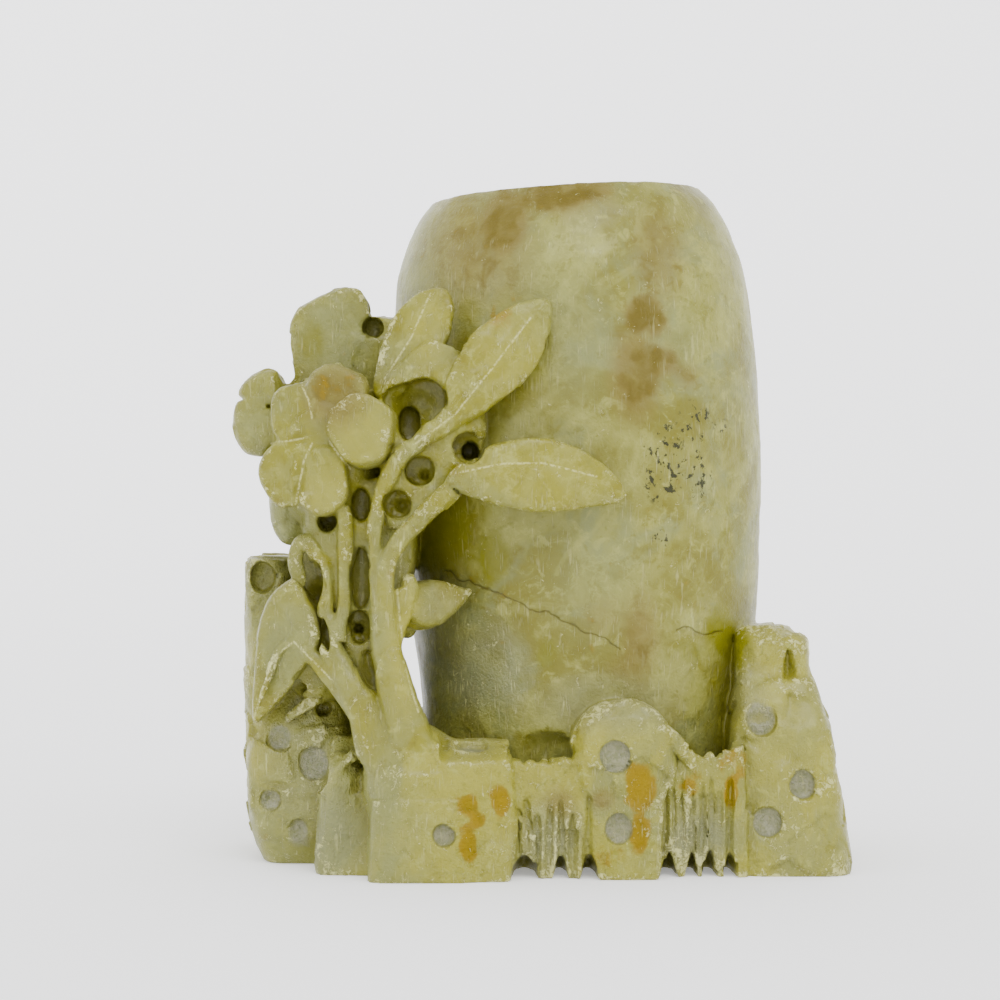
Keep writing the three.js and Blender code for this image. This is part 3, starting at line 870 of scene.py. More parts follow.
    petals: list[Slab] = several(
        Slab(oval(-49.7, 77.2, 4.5, 5.6), -30.8, -24.0, tilt=(-0.16, 0.1), dish=0.3),
        Slab(oval(-51.5, 67.6, 4.2, 5.9), -30.6, -24.0, tilt=(-0.18, -0.06), dish=0.3),
        Slab(oval(-45.6, 66.4, 4.9, 5.9), -32.0, -25.0, tilt=(-0.04, -0.08), dish=0.4, shift=(0.3, -0.4)),
        Slab(oval(-45.4, 74.6, 4.6, 4.6), -31.7, -24.0, bevel=0.6, dish=0.4),
        Slab(oval(-43.0, 80.6, 5.3, 5.2), -31.6, -25.0, tilt=(0.0, 0.1), dish=0.5),
        Slab(oval(-38.6, 74.8, 5.5, 6.0), -34.0, -27.5, bevel=0.8, dish=0.35, shift=(0.9, -0.7)),
    )
    creases: list[Stem] = several(
        Stem([(-47.6, -31.7, 73.4), (-50.5, -31.4, 72.9), (-54.4, -30.4, 72.6)], [0.6, 0.75, 0.6]),
        Stem(
            [(-46.8, -32.2, 72.4), (-48.2, -32.1, 69.4), (-49.0, -31.6, 65.4), (-49.8, -30.6, 61.6)],
            [0.6, 0.8, 0.8, 0.6],
        ),
        Stem([(-44.0, -32.6, 72.8), (-42.4, -32.8, 70.6), (-40.6, -32.6, 68.2)], [0.6, 0.7, 0.5]),
        Stem([(-46.8, -31.9, 76.6), (-47.4, -31.8, 79.6), (-49.0, -31.0, 83.0)], [0.6, 0.7, 0.5]),
        Stem([(-44.0, -32.4, 77.2), (-41.0, -32.6, 78.4), (-38.2, -32.4, 80.8)], [0.5, 0.6, 0.5]),
        Stem([(-54.6, -24.4, 76.8), (-57.6, -23.8, 78.2), (-60.6, -23.0, 79.2)], [0.6, 0.6, 0.6]),
        Stem([(-55.4, -21.0, 26.4), (-51.6, -20.8, 30.2), (-47.4, -20.8, 33.6)], [0.8, 1.9, 1.5]),
    )
    pits: list[tuple[Point, Point]] = several(
        ((-45.2, -32.3, 75.0), (0.9, 0.9, 0.8)), ((-44.0, -32.8, 76.2), (0.6, 0.8, 0.5)),
        ((-46.4, -32.0, 76.6), (0.6, 0.7, 0.7)), ((-32.0, -28.4, 62.0), (0.9, 2.4, 1.0)),
        ((-28.2, -28.4, 67.2), (0.9, 2.6, 1.0)), ((-29.2, -26.2, 79.2), (3.6, 2.6, 3.0)),
    )
    holes: list[Hole] = several(
        Hole(-39.0, 62.2, -23.0, 1.75, 1.6), Hole(-32.6, 62.2, -27.6, 2.35), Hole(-28.9, 68.0, -27.4, 2.55),
        Hole(-20.9, 71.7, -27.4, 2.7), Hole(-20.6, 71.2, -19.0, 1.5), Hole(-28.0, 79.8, -25.0, 3.7, 1.0),
        Hole(-30.9, 75.8, -21.0, 1.9, 1.6), Hole(-32.4, 79.6, -26.8, 2.8, 0.95),
        Hole(-30.4, 77.8, -25.8, 2.8, 1.15), Hole(-30.6, 80.2, -26.0, 3.0, 0.9),
        Hole(-38.9, 84.4, -20.0, 1.4, 2.9), Hole(-37.4, 92.8, -12.8, 1.7, 1.0),
        Hole(-44.6, 59.4, -21.0, 1.6, 1.1), Hole(-39.0, 50.0, -23.6, 1.6, 3.3),
        Hole(-39.3, 41.4, -23.8, 1.9, 1.5), Hole(-39.6, 41.0, -20.0, 0.9),
        Hole(-37.5, 34.6, -26.2, 1.25, 2.4, lean=-0.15), Hole(-46.8, 49.2, -13.0, 1.6, 2.3),
        Hole(-44.9, 40.4, -24.0, 0.9, 3.2, lean=-0.25),
    )
    leaf_facets: list[Span] = several((-50.4, -0.3), (-38.6, 0.25))

    def add_to(self, block: StoneBlock) -> None:
        """Lay the masses, webs, stems, leaves and flower into the block."""
        for middle, half in self.masses:
            block.add(pebble(middle, half), Kind.BRANCH, 1.0)
        for web in self.webs:
            block.add(web.surface(), Kind.BRANCH, 1.0)
        for stem in self.stems:
            block.add(stem.surface(), Kind.BRANCH, 0.7)
        for leaf in self.leaves:
            block.add(leaf.surface(), Kind.BRANCH, 0.25)
        for slab in self.slabs:
            block.add(slab.surface(), Kind.BRANCH, 0.4)

    def cut_from(self, block: StoneBlock) -> None:
        """Drill the holes between the stems, lay the flower over them, cut its creases and facet the far leaf."""
        for hole in self.holes:
            block.cut(hole.surface(), 0.7)
        for petal in self.petals:
            block.add(petal.surface(), Kind.BRANCH, 0.3)
        for crease in self.creases:
            block.cut(crease.surface(), 0.4)
        for middle, half in self.pits:
            block.cut(pebble(middle, half, 2.0), 0.4)
        for away, side in self.leaf_facets:
            path = np.array([(away - 1.2, -21.7, 101.0), (away, -21.7, 93.0), (away + 2.4, -21.7, 82.0)])
            block.cut(carried(path, np.full(3, 5.2), np.full(3, 4.0), 12.0, face=(side, -0.96, 0)), 0.3)


# ---------------------------------------------------------------- relief on the skin


def unevenness(points: Array, size: float, seed: int) -> Array:
    """Give a smooth random height at each point, from -1 to 1.

    Random heights stand on a lattice of the given spacing, and a point's height is blended from the eight
    round it with weights that ease in and out.

    Args:
        points: Places in millimetres, one a row.
        size: The lattice's spacing.
        seed: Picks the heights.

    Returns:
        One height for each point.
    """
    lattice = np.random.default_rng(seed).uniform(-1, 1, (32, 32, 32))
    place = points / size + 100.0
    cell = np.floor(place).astype(int)
    f = place - cell
    f = f * f * (3 - 2 * f)
    total = np.zeros(len(points))
    for corner in np.ndindex(2, 2, 2):
        weight = np.prod(np.where(corner, f, 1 - f), axis=1)
        i, j, k = ((cell + corner) % 32).T
        total += weight * lattice[i, j, k]
    return total


def vertex_normals(points: Array, faces: Array) -> Array:
    """Give each point's normal: the sum of the normals of the faces round it, scaled to one."""
    first, second = points[faces[:, 2]] - points[faces[:, 0]], points[faces[:, -1]] - points[faces[:, 1]]
    normal = np.cross(first, second)
    total = np.zeros_like(points)
    for corner in range(faces.shape[1]):
        for axis in range(3):
            total[:, axis] += np.bincount(faces[:, corner], normal[:, axis], len(points))
    return unit(total)


@dataclass
class Stain:
    """A soft blob of colour about a place on the stone, longer along Z by tall."""

    at: Point
    radius: float
    tall: float = 1.0
    strength: float = 1.0

    def spread(self, points: Array) -> Array:
        """Give its strength at points: one within the radius, easing to none at twice the radius."""
        half = self.radius * np.array([1.0, 2.5, self.tall])
        away = (points - np.array(self.at)) / half
        far = np.linalg.norm(away, axis=1)
        return self.strength * np.clip(1.6 - far, 0, 1)


@dataclass
class WeatheringAndPaintedShade:
    """Masks over the stone's skin, each from 0 to 1, that the finish reads as attributes: stains and wear, and
    painted shade for hollows and creases.
    """

    block: StoneBlock
    base: Base
    ochre: list[Stain] = several(
        Stain((-20.7, -36, 12.9), 1.4), Stain((-15.4, -36, 13.6), 1.4, 1.4),
        Stain((-20.7, -36, 6.0), 1.3, 2.2), Stain((-19.0, -36, 10.4), 1.1, 1.0, 0.8),
        Stain((7.4, -33, 15.6), 2.4, 1.4), Stain((7.6, -33, 7.8), 1.3, 2.2),
        Stain((2.0, -33, 4.0), 2.4, 1.0, 0.5), Stain((23.0, -31, 14.0), 1.0, 2.2, 0.9),
        Stain((23.6, -30, 19.2), 2.4, 1.0, 0.45), Stain((16.4, -31, 15.6), 1.8, 1.2, 0.45),
        Stain((-43.0, -31, 81.6), 3.2, 1.0, 0.2), Stain((-15.0, -28, 95.0), 3.0, 1.0, 0.3),
    )
    umber: list[Stain] = several(
        Stain((-5.4, -17, 115.4), 4.2, 0.8, 1.3), Stain((-19.0, -16, 106.0), 8.0, 1.1, 0.6),
        Stain((-14.0, -18, 111.0), 3.0, 1.6, 0.9), Stain((0.5, -18, 116.0), 3.0, 0.6, 1.0),
        Stain((8.8, -24, 94.8), 2.5, 0.9, 1.4), Stain((11.0, -24, 92.8), 1.6, 1.0, 1.1),
        Stain((12.6, -24, 86.6), 2.0, 1.0, 0.9), Stain((7.4, -25, 84.5), 3.6, 1.9, 0.9),
        Stain((11.5, -22, 105.0), 4.0, 1.8, 0.55), Stain((16.5, -22, 84.0), 2.0, 0.9, 0.5),
        Stain((8.4, -25, 39.5), 2.6, 2.4, 0.7), Stain((2.0, -25, 43.5), 3.0, 1.0, 0.3),
        Stain((4.8, -28, 34.5), 2.2, 1.0, 0.4), Stain((-5.6, -33, 12.8), 2.2, 1.0, 0.6),
        Stain((1.4, -33, 13.4), 1.8, 0.8, 0.7), Stain((-25.0, -20, 50.0), 4.0, 1.5, 0.2),
        Stain((-43.0, -31, 80.4), 4.4, 1.1, 0.7),
    )
    speck: list[Stain] = several(
        Stain((11.6, -24, 68.4), 2.6, 2.0, 0.9), Stain((18.3, -22, 76.5), 2.0, 1.4, 0.9),
        Stain((18.3, -22, 67.0), 2.2, 1.7, 0.9), Stain((22.8, -20, 75.6), 1.2, 1.2, 0.8),
        Stain((12.0, -24, 56.6), 1.4, 0.9, 0.8), Stain((14.5, -24, 72.0), 4.5, 1.6, 0.35),
    )
    ash: list[Stain] = several(
        Stain((-19.0, -24, 34.0), 6.5, 1.1, 0.8), Stain((-27.0, -20, 44.0), 3.5, 1.6, 0.4),
        Stain((2.0, -27, 29.0), 8.0, 0.5, 0.5), Stain((-50.0, -20, 16.0), 7.0, 1.2, 0.35),
        Stain((26.0, -22, 31.0), 3.0, 1.4, 0.5), Stain((-7.0, -31, 6.5), 4.6, 1.2, 0.8),
        Stain((17.5, -30, 6.5), 4.6, 1.2, 0.8), Stain((-20.0, -31, 22.0), 4.0, 0.5, 0.4),
        Stain((-43.0, -28, 6.0), 4.0, 1.4, 0.4),
    )
    moss: list[Stain] = several(
        Stain((-25.5, -22, 57.0), 5.0, 1.2, 0.7), Stain((-16.6, -25, 53.0), 2.6, 1.8, 0.7),
        Stain((-7.5, -27, 37.0), 2.0, 1.4, 0.6), Stain((-12.5, -27, 31.5), 2.0, 1.0, 0.5),
        Stain((22.5, -20, 41.0), 2.6, 1.4, 0.7), Stain((17.0, -24, 37.0), 3.0, 0.8, 0.5),
        Stain((24.0, -18, 60.0), 4.0, 3.0, 0.3), Stain((25.2, -19, 37.4), 2.4, 1.4, 0.9),
        Stain((-47.6, -18, 90.0), 2.4, 1.6, 0.45), Stain((20.0, -22, 96.0), 5.0, 2.0, 0.25),
    )

    jade: list[Stain] = several(
        Stain((-43.5, -16, 91.0), 7.0, 1.2, 0.9), Stain((-56.5, -20, 76.5), 4.5, 1.6, 0.6),
        Stain((-51.5, -17, 60.0), 4.0, 1.8, 0.8), Stain((-53.0, -24, 40.0), 5.0, 1.6, 0.6),
        Stain((-29.0, -12, 104.0), 6.0, 1.6, 0.6), Stain((-13.0, -22, 100.0), 6.0, 1.8, 0.5),
        Stain((-2.0, -24, 90.0), 5.0, 2.0, 0.6), Stain((14.0, -22, 90.0), 4.0, 1.4, 0.6),
        Stain((0.0, -24, 50.0), 7.0, 1.4, 0.5), Stain((-36.0, -30, 10.0), 8.0, 1.0, 0.5),
        Stain((-50.0, -18, 6.0), 8.0, 1.0, 0.7), Stain((-46.0, -18, 22.0), 7.0, 1.0, 0.6),
        Stain((-45.0, -30, 63.0), 4.0, 1.4, 0.3), Stain((-38.0, -26, 46.0), 5.0, 1.6, 0.4),
    )
    straw: list[Stain] = several(
        Stain((-38.0, -33, 74.0), 5.0, 1.0, 0.8), Stain((-44.0, -33, 64.0), 4.0, 1.0, 0.7),
        Stain((-27.5, -26, 91.0), 3.0, 2.0, 0.8), Stain((-14.0, -30, 88.0), 5.0, 1.4, 0.6),
        Stain((-31.5, -32, 40.0), 2.6, 5.0, 0.9), Stain((-8.0, -33, 67.0), 9.0, 0.5, 0.5),
        Stain((-20.0, -36, 16.0), 7.0, 1.0, 0.6), Stain((4.0, -33, 24.0), 6.0, 0.7, 0.7),
        Stain((32.0, -30, 20.0), 8.0, 1.8, 0.6), Stain((18.0, -31, 14.0), 5.0, 1.0, 0.5),
    )

    def masks(self, points: Array, normals: Array) -> dict[str, Array]:
        """Work out every mask at the skin's points.

        recess is how closed in the space in front of the skin is, and darkens hollows as painted shade;
        groove is how full of stone the skin's near surroundings are, and darkens creases as painted shade;
        front is how squarely the skin faces the front, edge how far the skin stands proud, leafy marks the
        branch, rocky the base, chalk the floors of the drilled discs, and the rest are the stains.

        Args:
            points: The skin's points in millimetres.
            normals: Their outward normals.

        Returns:
            Mask name to one value for each point.
        """
        near, near_step = self.block.fullness(1.2)
        wide, wide_step = self.block.fullness(5.0)
        here = self.block.read(near, points, near_step)
        ahead = self.block.read(wide, points + 3.0 * normals, wide_step)
        kind = self.block.kind_at(points - 0.5 * normals)
        layers = ("ochre", "umber", "speck", "ash", "moss", "jade", "straw")
        masks = {name: self._stained(points, getattr(self, name)) for name in layers}
        masks["front"] = np.clip(-2 * normals[:, 1], 0, 1)
        # painted shade: where stone closes in ahead of the skin, the colour is darkened as shadow in hollows
        masks["painted_recess_shade"] = np.clip((ahead - 0.30) / 0.4, 0, 1)
        masks["edge"] = np.clip((0.45 - here) / 0.2, 0, 1)
        # painted shade: groove is high in concave creases, which the colour darkens
        masks["groove"] = np.clip((here - 0.56) / 0.2, 0, 1)
        masks["leafy"] = (kind == Kind.BRANCH).astype(float)
        masks["rocky"] = (kind == Kind.ROCK).astype(float)
        masks["chalk"] = self._disc_floors(points, normals)
        return masks

    @staticmethod
    def _stained(points: Array, stains: list[Stain]) -> Array:
        """Add up one layer's stains, up to one."""
        return np.clip(sum(stain.spread(points) for stain in stains), 0, 1)

    def _disc_floors(self, points: Array, normals: Array) -> Array:
        """Mark the flat floors of the drilled discs."""
        mask = np.zeros(len(points))
        for disc in self.base.discs:
            across = np.hypot(points[:, 0] - disc.x, (points[:, 2] - disc.z) / disc.tall)
            inside = np.clip((disc.radius + 0.1 - across) / 0.4, 0, 1)
            depth = np.clip(1 - np.abs(points[:, 1] - disc.floor) / 1.2, 0, 1)
            mask = np.maximum(mask, inside * np.clip(2 * depth, 0, 1))
        x, y, z = self.base.disc_ledge
        across = np.hypot((points[:, 0] - x) / 2.6, (points[:, 1] - y) / 2.2)
        ledge = np.clip((1 - across) * 4, 0, 1) * (np.abs(points[:, 2] - z) < 2.5)
        return np.maximum(mask, ledge)


def facets(points: Array, size: float, tilt: float, seed: int) -> Array:
    """Give the height of flat cuts: each place takes the tilted plane of its nearest cut's middle.

    The middles are spread at random, one in each cell of a lattice, and a plane rises from its middle by
    its own slope along each axis.

    Args:
        points: Places in millimetres, one a row.
        size: The lattice's spacing.
        tilt: The largest slope.
        seed: Picks the middles and slopes.

    Returns:
        One height for each point.
    """
    rng = np.random.default_rng(seed)
    offset, slope = rng.uniform(0.1, 0.9, (16, 16, 16, 3)), rng.uniform(-tilt, tilt, (16, 16, 16, 3))
    place = points / size + 50.0
    cell = np.floor(place).astype(int)
    nearest = np.full(len(points), 9.0)
    height = np.zeros(len(points))
    for step in np.ndindex(3, 3, 3):
        other = cell + np.array(step) - 1
        i, j, k = (other % 16).T
        away = place - other - offset[i, j, k]
        far = (away**2).sum(axis=1)
        plane = (away * slope[i, j, k]).sum(axis=1) * size
        height = np.where(far < nearest, plane, height)
        nearest = np.minimum(far, nearest)
    return height


def worn(points: Array, normals: Array, block: StoneBlock) -> Array:
    """Move the skin's points as hand carving and wear leave them.

    The skin has flat cuts and is slightly uneven, the rocks most and the vessel least. Proud edges are
    chipped where a random height passes a threshold.

    Args:
        points: The skin's points in millimetres.
        normals: Their outward normals.
        block: The block that the skin comes from.

    Returns:
        The moved points.
    """
    near, step = block.fullness(1.2)
    proud = np.clip((0.44 - block.read(near, points, step)) / 0.15, 0, 1)
    kind = block.kind_at(points - 0.5 * normals)
    flat = np.choose(kind, [0.12, 1.0, 0.5]) * facets(points, 6.5, 0.1, 7)
    rough = np.choose(kind, [0.35, 0.7, 0.4])
    uneven = 0.3 * unevenness(points, 8.0, 1) + 0.2 * unevenness(points, 3.2, 2)
    uneven = uneven + 0.12 * unevenness(points, 1.3, 3)
    chips = np.clip(unevenness(points, 1.9, 4) + 0.5 * unevenness(points, 0.9, 5) - 0.3, 0, 1)
    inside = np.hypot((points[:, 0] - axis_x(points[:, 2])) / 20.5, points[:, 1] / 16.4) < 1
    calm = np.where(inside & (points[:, 2] > 20), 0.12, 1.0) * np.clip(points[:, 2] / 1.5, 0, 1)
    move = (flat + uneven * rough - 0.7 * chips * proud) * calm
    return points + normals * move[:, None]


# ---------------------------------------------------------------- finish


class Signal:
    """A shader socket that Python's operators work on."""

    def __init__(self, shop: "Shop", socket: bpy.types.NodeSocket) -> None:
        """Wrap a socket of one shop's tree."""
        self.shop = shop
        self.socket = socket

    def _math(self, operation: str, *values: "Signal | float", clamp: bool = False) -> "Signal":
        """Add a Math node for an operation on values."""
        settings = {"operation": operation, "use_clamp": clamp}
        return self.shop.node("ShaderNodeMath", settings, dict(enumerate(values)))

    def __add__(self, other: "Signal | float") -> "Signal":
        """Add."""
        return self._math("ADD", self, other)

    __radd__ = __add__

    def __mul__(self, other: "Signal | float") -> "Signal":
        """Multiply."""
        return self._math("MULTIPLY", self, other)

    __rmul__ = __mul__

    def __sub__(self, other: "Signal | float") -> "Signal":
        """Subtract."""
        return self._math("SUBTRACT", self, other)

    def __rsub__(self, other: float) -> "Signal":
        """Subtract from a number."""
        return self._math("SUBTRACT", other, self)

    def __abs__(self) -> "Signal":
        """Drop the sign."""
        return self._math("ABSOLUTE", self)

    def clamp(self) -> "Signal":
        """Hold between 0 and 1."""
        return self._math("ADD", self, 0.0, clamp=True)

    def above(self, low: float, high: float) -> "Signal":
        """Rise from 0 at low to 1 at high, easing in and out."""
        settings = {"interpolation_type": "SMOOTHSTEP", "clamp": True}
        values = {"Value": self, "From Min": low, "From Max": high}
        return self.shop.node("ShaderNodeMapRange", settings, values)

    def larger(self, other: "Signal | float") -> "Signal":
        """Take the larger of two."""
        return self._math("MAXIMUM", self, other)

    def smaller(self, other: "Signal | float") -> "Signal":
        """Take the smaller of two."""
        return self._math("MINIMUM", self, other)


class Shop:
    """Makes the nodes of one material."""

    def __init__(self, material: bpy.types.Material) -> None:
        """Start with an empty tree."""
        material.use_nodes = True
        self.tree = material.node_tree
        self.tree.nodes.clear()

    def node(self, kind: str, settings: dict, values: dict, output: int | str = 0) -> Signal:
        """Add a node.

        Args:
            kind: The node's type.
            settings: Properties, set first.
            values: Socket name or number to a number, colour or Signal.
            output: The output to give back.

        Returns:
            That output.
        """
        made = self.tree.nodes.new(kind)
        for name, value in settings.items():
            setattr(made, name, value)
        for name, value in values.items():
            if isinstance(value, Signal):
                self.tree.links.new(value.socket, made.inputs[name])
            else:
                made.inputs[name].default_value = value
        return Signal(self, made.outputs[output])

    def show(self, surface: Signal) -> None:
        """Make a shader the material's surface."""
        out = self.tree.nodes.new("ShaderNodeOutputMaterial")
        self.tree.links.new(surface.socket, out.inputs["Surface"])

    def attribute(self, name: str) -> Signal:
        """Read one of the mesh's masks."""
        return self.node("ShaderNodeAttribute", {"attribute_name": name}, {}, "Fac")

    def noise(
        self, place: Signal, size: float, detail: float = 3.0, twist: float = 0.0, rough: float = 0.55
    ) -> Signal:
        """Add smooth noise whose lumps are about size millimetres."""
        values = {"Vector": place, "Scale": 1 / (size * METRES), "Detail": detail}
        values |= {"Roughness": rough, "Distortion": twist}
        return self.node("ShaderNodeTexNoise", {}, values, "Fac")

    def mix(self, first: Signal | tuple, second: Signal | tuple, share: Signal | float) -> Signal:
        """Mix two colours."""
        values = {0: share, 6: first, 7: second}
        return self.node("ShaderNodeMix", {"data_type": "RGBA"}, values, 2)

    def vector(
        self, operation: str, first: Signal | Point, second: Signal | Point, output: str = "Vector"
    ) -> Signal:
        """Add a Vector Math node for an operation on two vectors."""
        return self.node("ShaderNodeVectorMath", {"operation": operation}, {0: first, 1: second}, output)

    def stretched(self, place: Signal, turn: Point, scale: Point) -> Signal:
        """Turn and stretch the place that a pattern is read at."""
        return self.node("ShaderNodeMapping", {}, {"Vector": place, "Rotation": turn, "Scale": scale})


@dataclass(frozen=True)
class Seam:
    """A line over the front of the stone through points of x and z in millimetres."""

    points: tuple[Span, ...]

    def distance(self, shop: Shop, flat: Signal) -> Signal:
        """Give the distance in millimetres from the line, seen from the front.

        On each stretch from a to b the nearest place is a + t (b - a), where t is the share
        (p - a) . (b - a) / |b - a|^2 held between 0 and 1.

        Args:
            shop: The material's shop.
            flat: The place in millimetres with its Y at 0.

        Returns:
            The smallest distance to any stretch.
        """
        nearest: Signal | None = None
        for (ax, az), (bx, bz) in zip(self.points, self.points[1:]):
            way = (bx - ax, 0.0, bz - az)
            from_a = shop.vector("SUBTRACT", flat, (ax, 0.0, az))
            dot = shop.vector("DOT_PRODUCT", from_a, way, output="Value")
            share = (dot * (1 / (way[0] ** 2 + way[2] ** 2))).clamp()
            reached = shop.node("ShaderNodeVectorMath", {"operation": "SCALE"}, {0: way, 3: share})
            far = shop.vector("DISTANCE", from_a, reached, output="Value")
            nearest = far if nearest is None else nearest.smaller(far)
        return nearest


@dataclass(frozen=True)
class Soapstone:
    """The waxy carved stone: green and straw marbling, olive painted shade in its hollows and creases, ochre and
    brown stains, chalky cuts.

    Colours are linear shares of light.
    """

    body: Colour = (0.232, 0.228, 0.046, 1)
    pale: Colour = (0.330, 0.335, 0.085, 1)
    olive: Colour = (0.130, 0.116, 0.003, 1)
    green: Colour = (0.180, 0.194, 0.070, 1)
    straw: Colour = (0.300, 0.278, 0.030, 1)
    leaf: Colour = (0.188, 0.174, 0.006, 1)
    leaf_deep: Colour = (0.150, 0.134, 0.003, 1)
    # hollow is painted shade, the dark olive laid into recesses, not a colour of the stone
    hollow: Colour = (0.135, 0.124, 0.001, 1)
    moss: Colour = (0.145, 0.140, 0.001, 1)
    ochre: Colour = (0.215, 0.136, 0.000, 1)
    umber: Colour = (0.088, 0.062, 0.001, 1)
    blush: Colour = (0.162, 0.124, 0.030, 1)
    ash: Colour = (0.200, 0.206, 0.105, 1)
    chalk: Colour = (0.270, 0.265, 0.165, 1)
    white: Colour = (0.720, 0.700, 0.300, 1)
    soot: Colour = (0.012, 0.013, 0.001, 1)
    fissure: Colour = (0.070, 0.055, 0.002, 1)
    cracks: tuple[Seam, ...] = (
        Seam(((-25.0, 50.6), (-13.5, 46.2), (-4.0, 42.4), (4.6, 37.8))),
        Seam(((14.6, 40.8), (22.8, 40.4))),
    )
    veins: tuple[Seam, ...] = (Seam(((8.6, 74.6), (5.0, 64.6), (0.0, 58.0), (-6.0, 51.0))),)
    ribs: tuple[Seam, ...] = (
        Seam(((-27.3, 97.9), (-30.5, 90.3), (-34.9, 83.4))),
        Seam(((-10.4, 93.4), (-17.2, 84.4), (-23.0, 77.2), (-29.9, 72.0))),
        Seam(((-22.0, 67.6), (-15.0, 69.0), (-8.4, 69.1), (0.5, 66.9))),
        Seam(((-43.4, 32.8), (-50.1, 39.2), (-53.6, 36.6), (-57.4, 25.7))),
        Seam(((-47.6, 73.4), (-50.5, 72.9), (-54.4, 72.6))),
        Seam(((-46.8, 72.4), (-48.2, 69.4), (-49.0, 65.4), (-49.8, 61.6))),
        Seam(((-44.0, 72.8), (-42.4, 70.6), (-40.6, 68.2))),
        Seam(((-46.8, 76.6), (-47.4, 79.6), (-49.0, 83.0))),
        Seam(((-31.9, 56.0), (-32.6, 48.0), (-31.4, 36.0), (-29.0, 28.0))),
    )

    def material(self) -> bpy.types.Material:
        """Make the stone's material from the skin's masks and noises on object coordinates."""
        made = bpy.data.materials.new("carved_soapstone")
        shop = Shop(made)
        place = shop.node("ShaderNodeTexCoord", {}, {}, "Object")
        fine = shop.noise(place, 0.45, 2.0)
        grain = shop.noise(place, 1.5, 5.0, rough=0.65)
        mottle = shop.noise(place, 4.0, 4.0, 0.6)
        scratch = self._scratches(shop, place)
        fleck = self._flecks(shop, place)
        crack, vein, rib = self._lines(shop, place, fine)
        colour = self._colour(shop, place, mottle, grain)
        colour = shop.mix(colour, self.white, (fleck * 0.55).clamp())
        colour = shop.mix(colour, self.white, (scratch * (0.3 + 0.6 * shop.attribute("ash"))).clamp() * 0.6)
        colour = shop.mix(colour, self.pale, vein * 0.25)
        colour = shop.mix(colour, self.white, rib * 0.45)
        colour = shop.mix(colour, self.fissure, crack * 0.6)
        chalk, rocky = shop.attribute("chalk"), shop.attribute("rocky")
        roughness = 0.3 + 0.25 * grain + 0.3 * chalk + 0.15 * scratch - 0.1 * fleck
        height = 0.55 * fine + 1.3 * grain + 0.9 * mottle - 0.8 * scratch + 0.7 * fleck - 1.6 * crack
        height = height + (0.8 * rocky + 1.2 * chalk + 1.2 * shop.attribute("ash")) * fine
        bump = shop.node("ShaderNodeBump", {}, {"Strength": 0.7, "Distance": 0.0005, "Height": height})
        values = {
            "Base Color": colour,
            "Roughness": roughness.clamp(),
            "Normal": bump,
            "Specular IOR Level": 0.06,
            "Subsurface Weight": 0.15,
            "Subsurface Radius": (1.0, 0.9, 0.25),
            "Subsurface Scale": 0.002,
            "Coat Weight": (0.42 - 0.5 * shop.attribute("ochre") - 0.3 * shop.attribute("umber")).clamp(),
            "Coat Roughness": 0.25,
        }
        shop.show(shop.node("ShaderNodeBsdfPrincipled", {}, values))
        return made

    def _scratches(self, shop: Shop, place: Signal) -> Signal:
        """Give fine scratches: noise stretched ten times along three directions, kept where it peaks."""
        total: Signal | None = None
        for turn in ((0.3, 0.8, 0.0), (0.2, -0.9, 0.4), (1.2, 0.2, 0.9)):
            along = shop.stretched(place, turn, (1.0, 1.0, 0.1))
            line = shop.noise(along, 0.6, 2.0).above(0.62, 0.7)
            total = line if total is None else total.larger(line)
        return total * shop.noise(place, 6.0, 2.0).above(0.42, 0.62)

    def _flecks(self, shop: Shop, place: Signal) -> Signal:
        """Give white flecks: ragged grains in clusters, closer together on proud edges and ashen places."""
        dots = shop.noise(place, 0.95, 5.0, 0.8, 0.75)
        clusters = shop.noise(place, 8.0, 3.0, 0.0, 0.7)
        where = 0.32 * clusters + 0.15 * shop.attribute("edge") + 0.07 * shop.attribute("ash")
        where = where + 0.03 * shop.attribute("rocky") + 0.01 * shop.attribute("leafy")
        return (dots + where).above(0.82, 0.87)

    def _lines(self, shop: Shop, place: Signal, fine: Signal) -> tuple[Signal, Signal, Signal]:
        """Give the cracks, the pale veins and the scratched ribs and creases of leaves and petals."""
        values = {"Vector": place, "Scale": 260.0, "Detail": 3.0}
        wander = shop.node("ShaderNodeTexNoise", {}, values, "Color")
        shift = shop.vector("SUBTRACT", wander, (0.5, 0.5, 0.5))
        flat = shop.vector("MULTIPLY", place, (1000.0, 0.0, 1000.0))
        shift = shop.vector("MULTIPLY", shift, (3.2, 0.0, 3.2))
        wavy = shop.vector("ADD", flat, shift)
        front = shop.attribute("front")
        on_vessel = 1 - (shop.attribute("leafy") + shop.attribute("rocky")).clamp()
        crack = 1 - self._nearest(shop, wavy, self.cracks).above(0.02, 0.24)
        vein = 1 - self._nearest(shop, wavy, self.veins).above(0.2, 0.8)
        rib = 1 - self._nearest(shop, flat, self.ribs).above(0.04, 0.26)
        rib = rib * fine.above(0.36, 0.58) * shop.attribute("leafy")
        return crack * on_vessel * front, vein * on_vessel * front, rib * front

    @staticmethod
    def _nearest(shop: Shop, flat: Signal, seams: tuple[Seam, ...]) -> Signal:
        """Give the distance from the nearest of some lines."""
        nearest = seams[0].distance(shop, flat)
        for seam in seams[1:]:
            nearest = nearest.smaller(seam.distance(shop, flat))
        return nearest

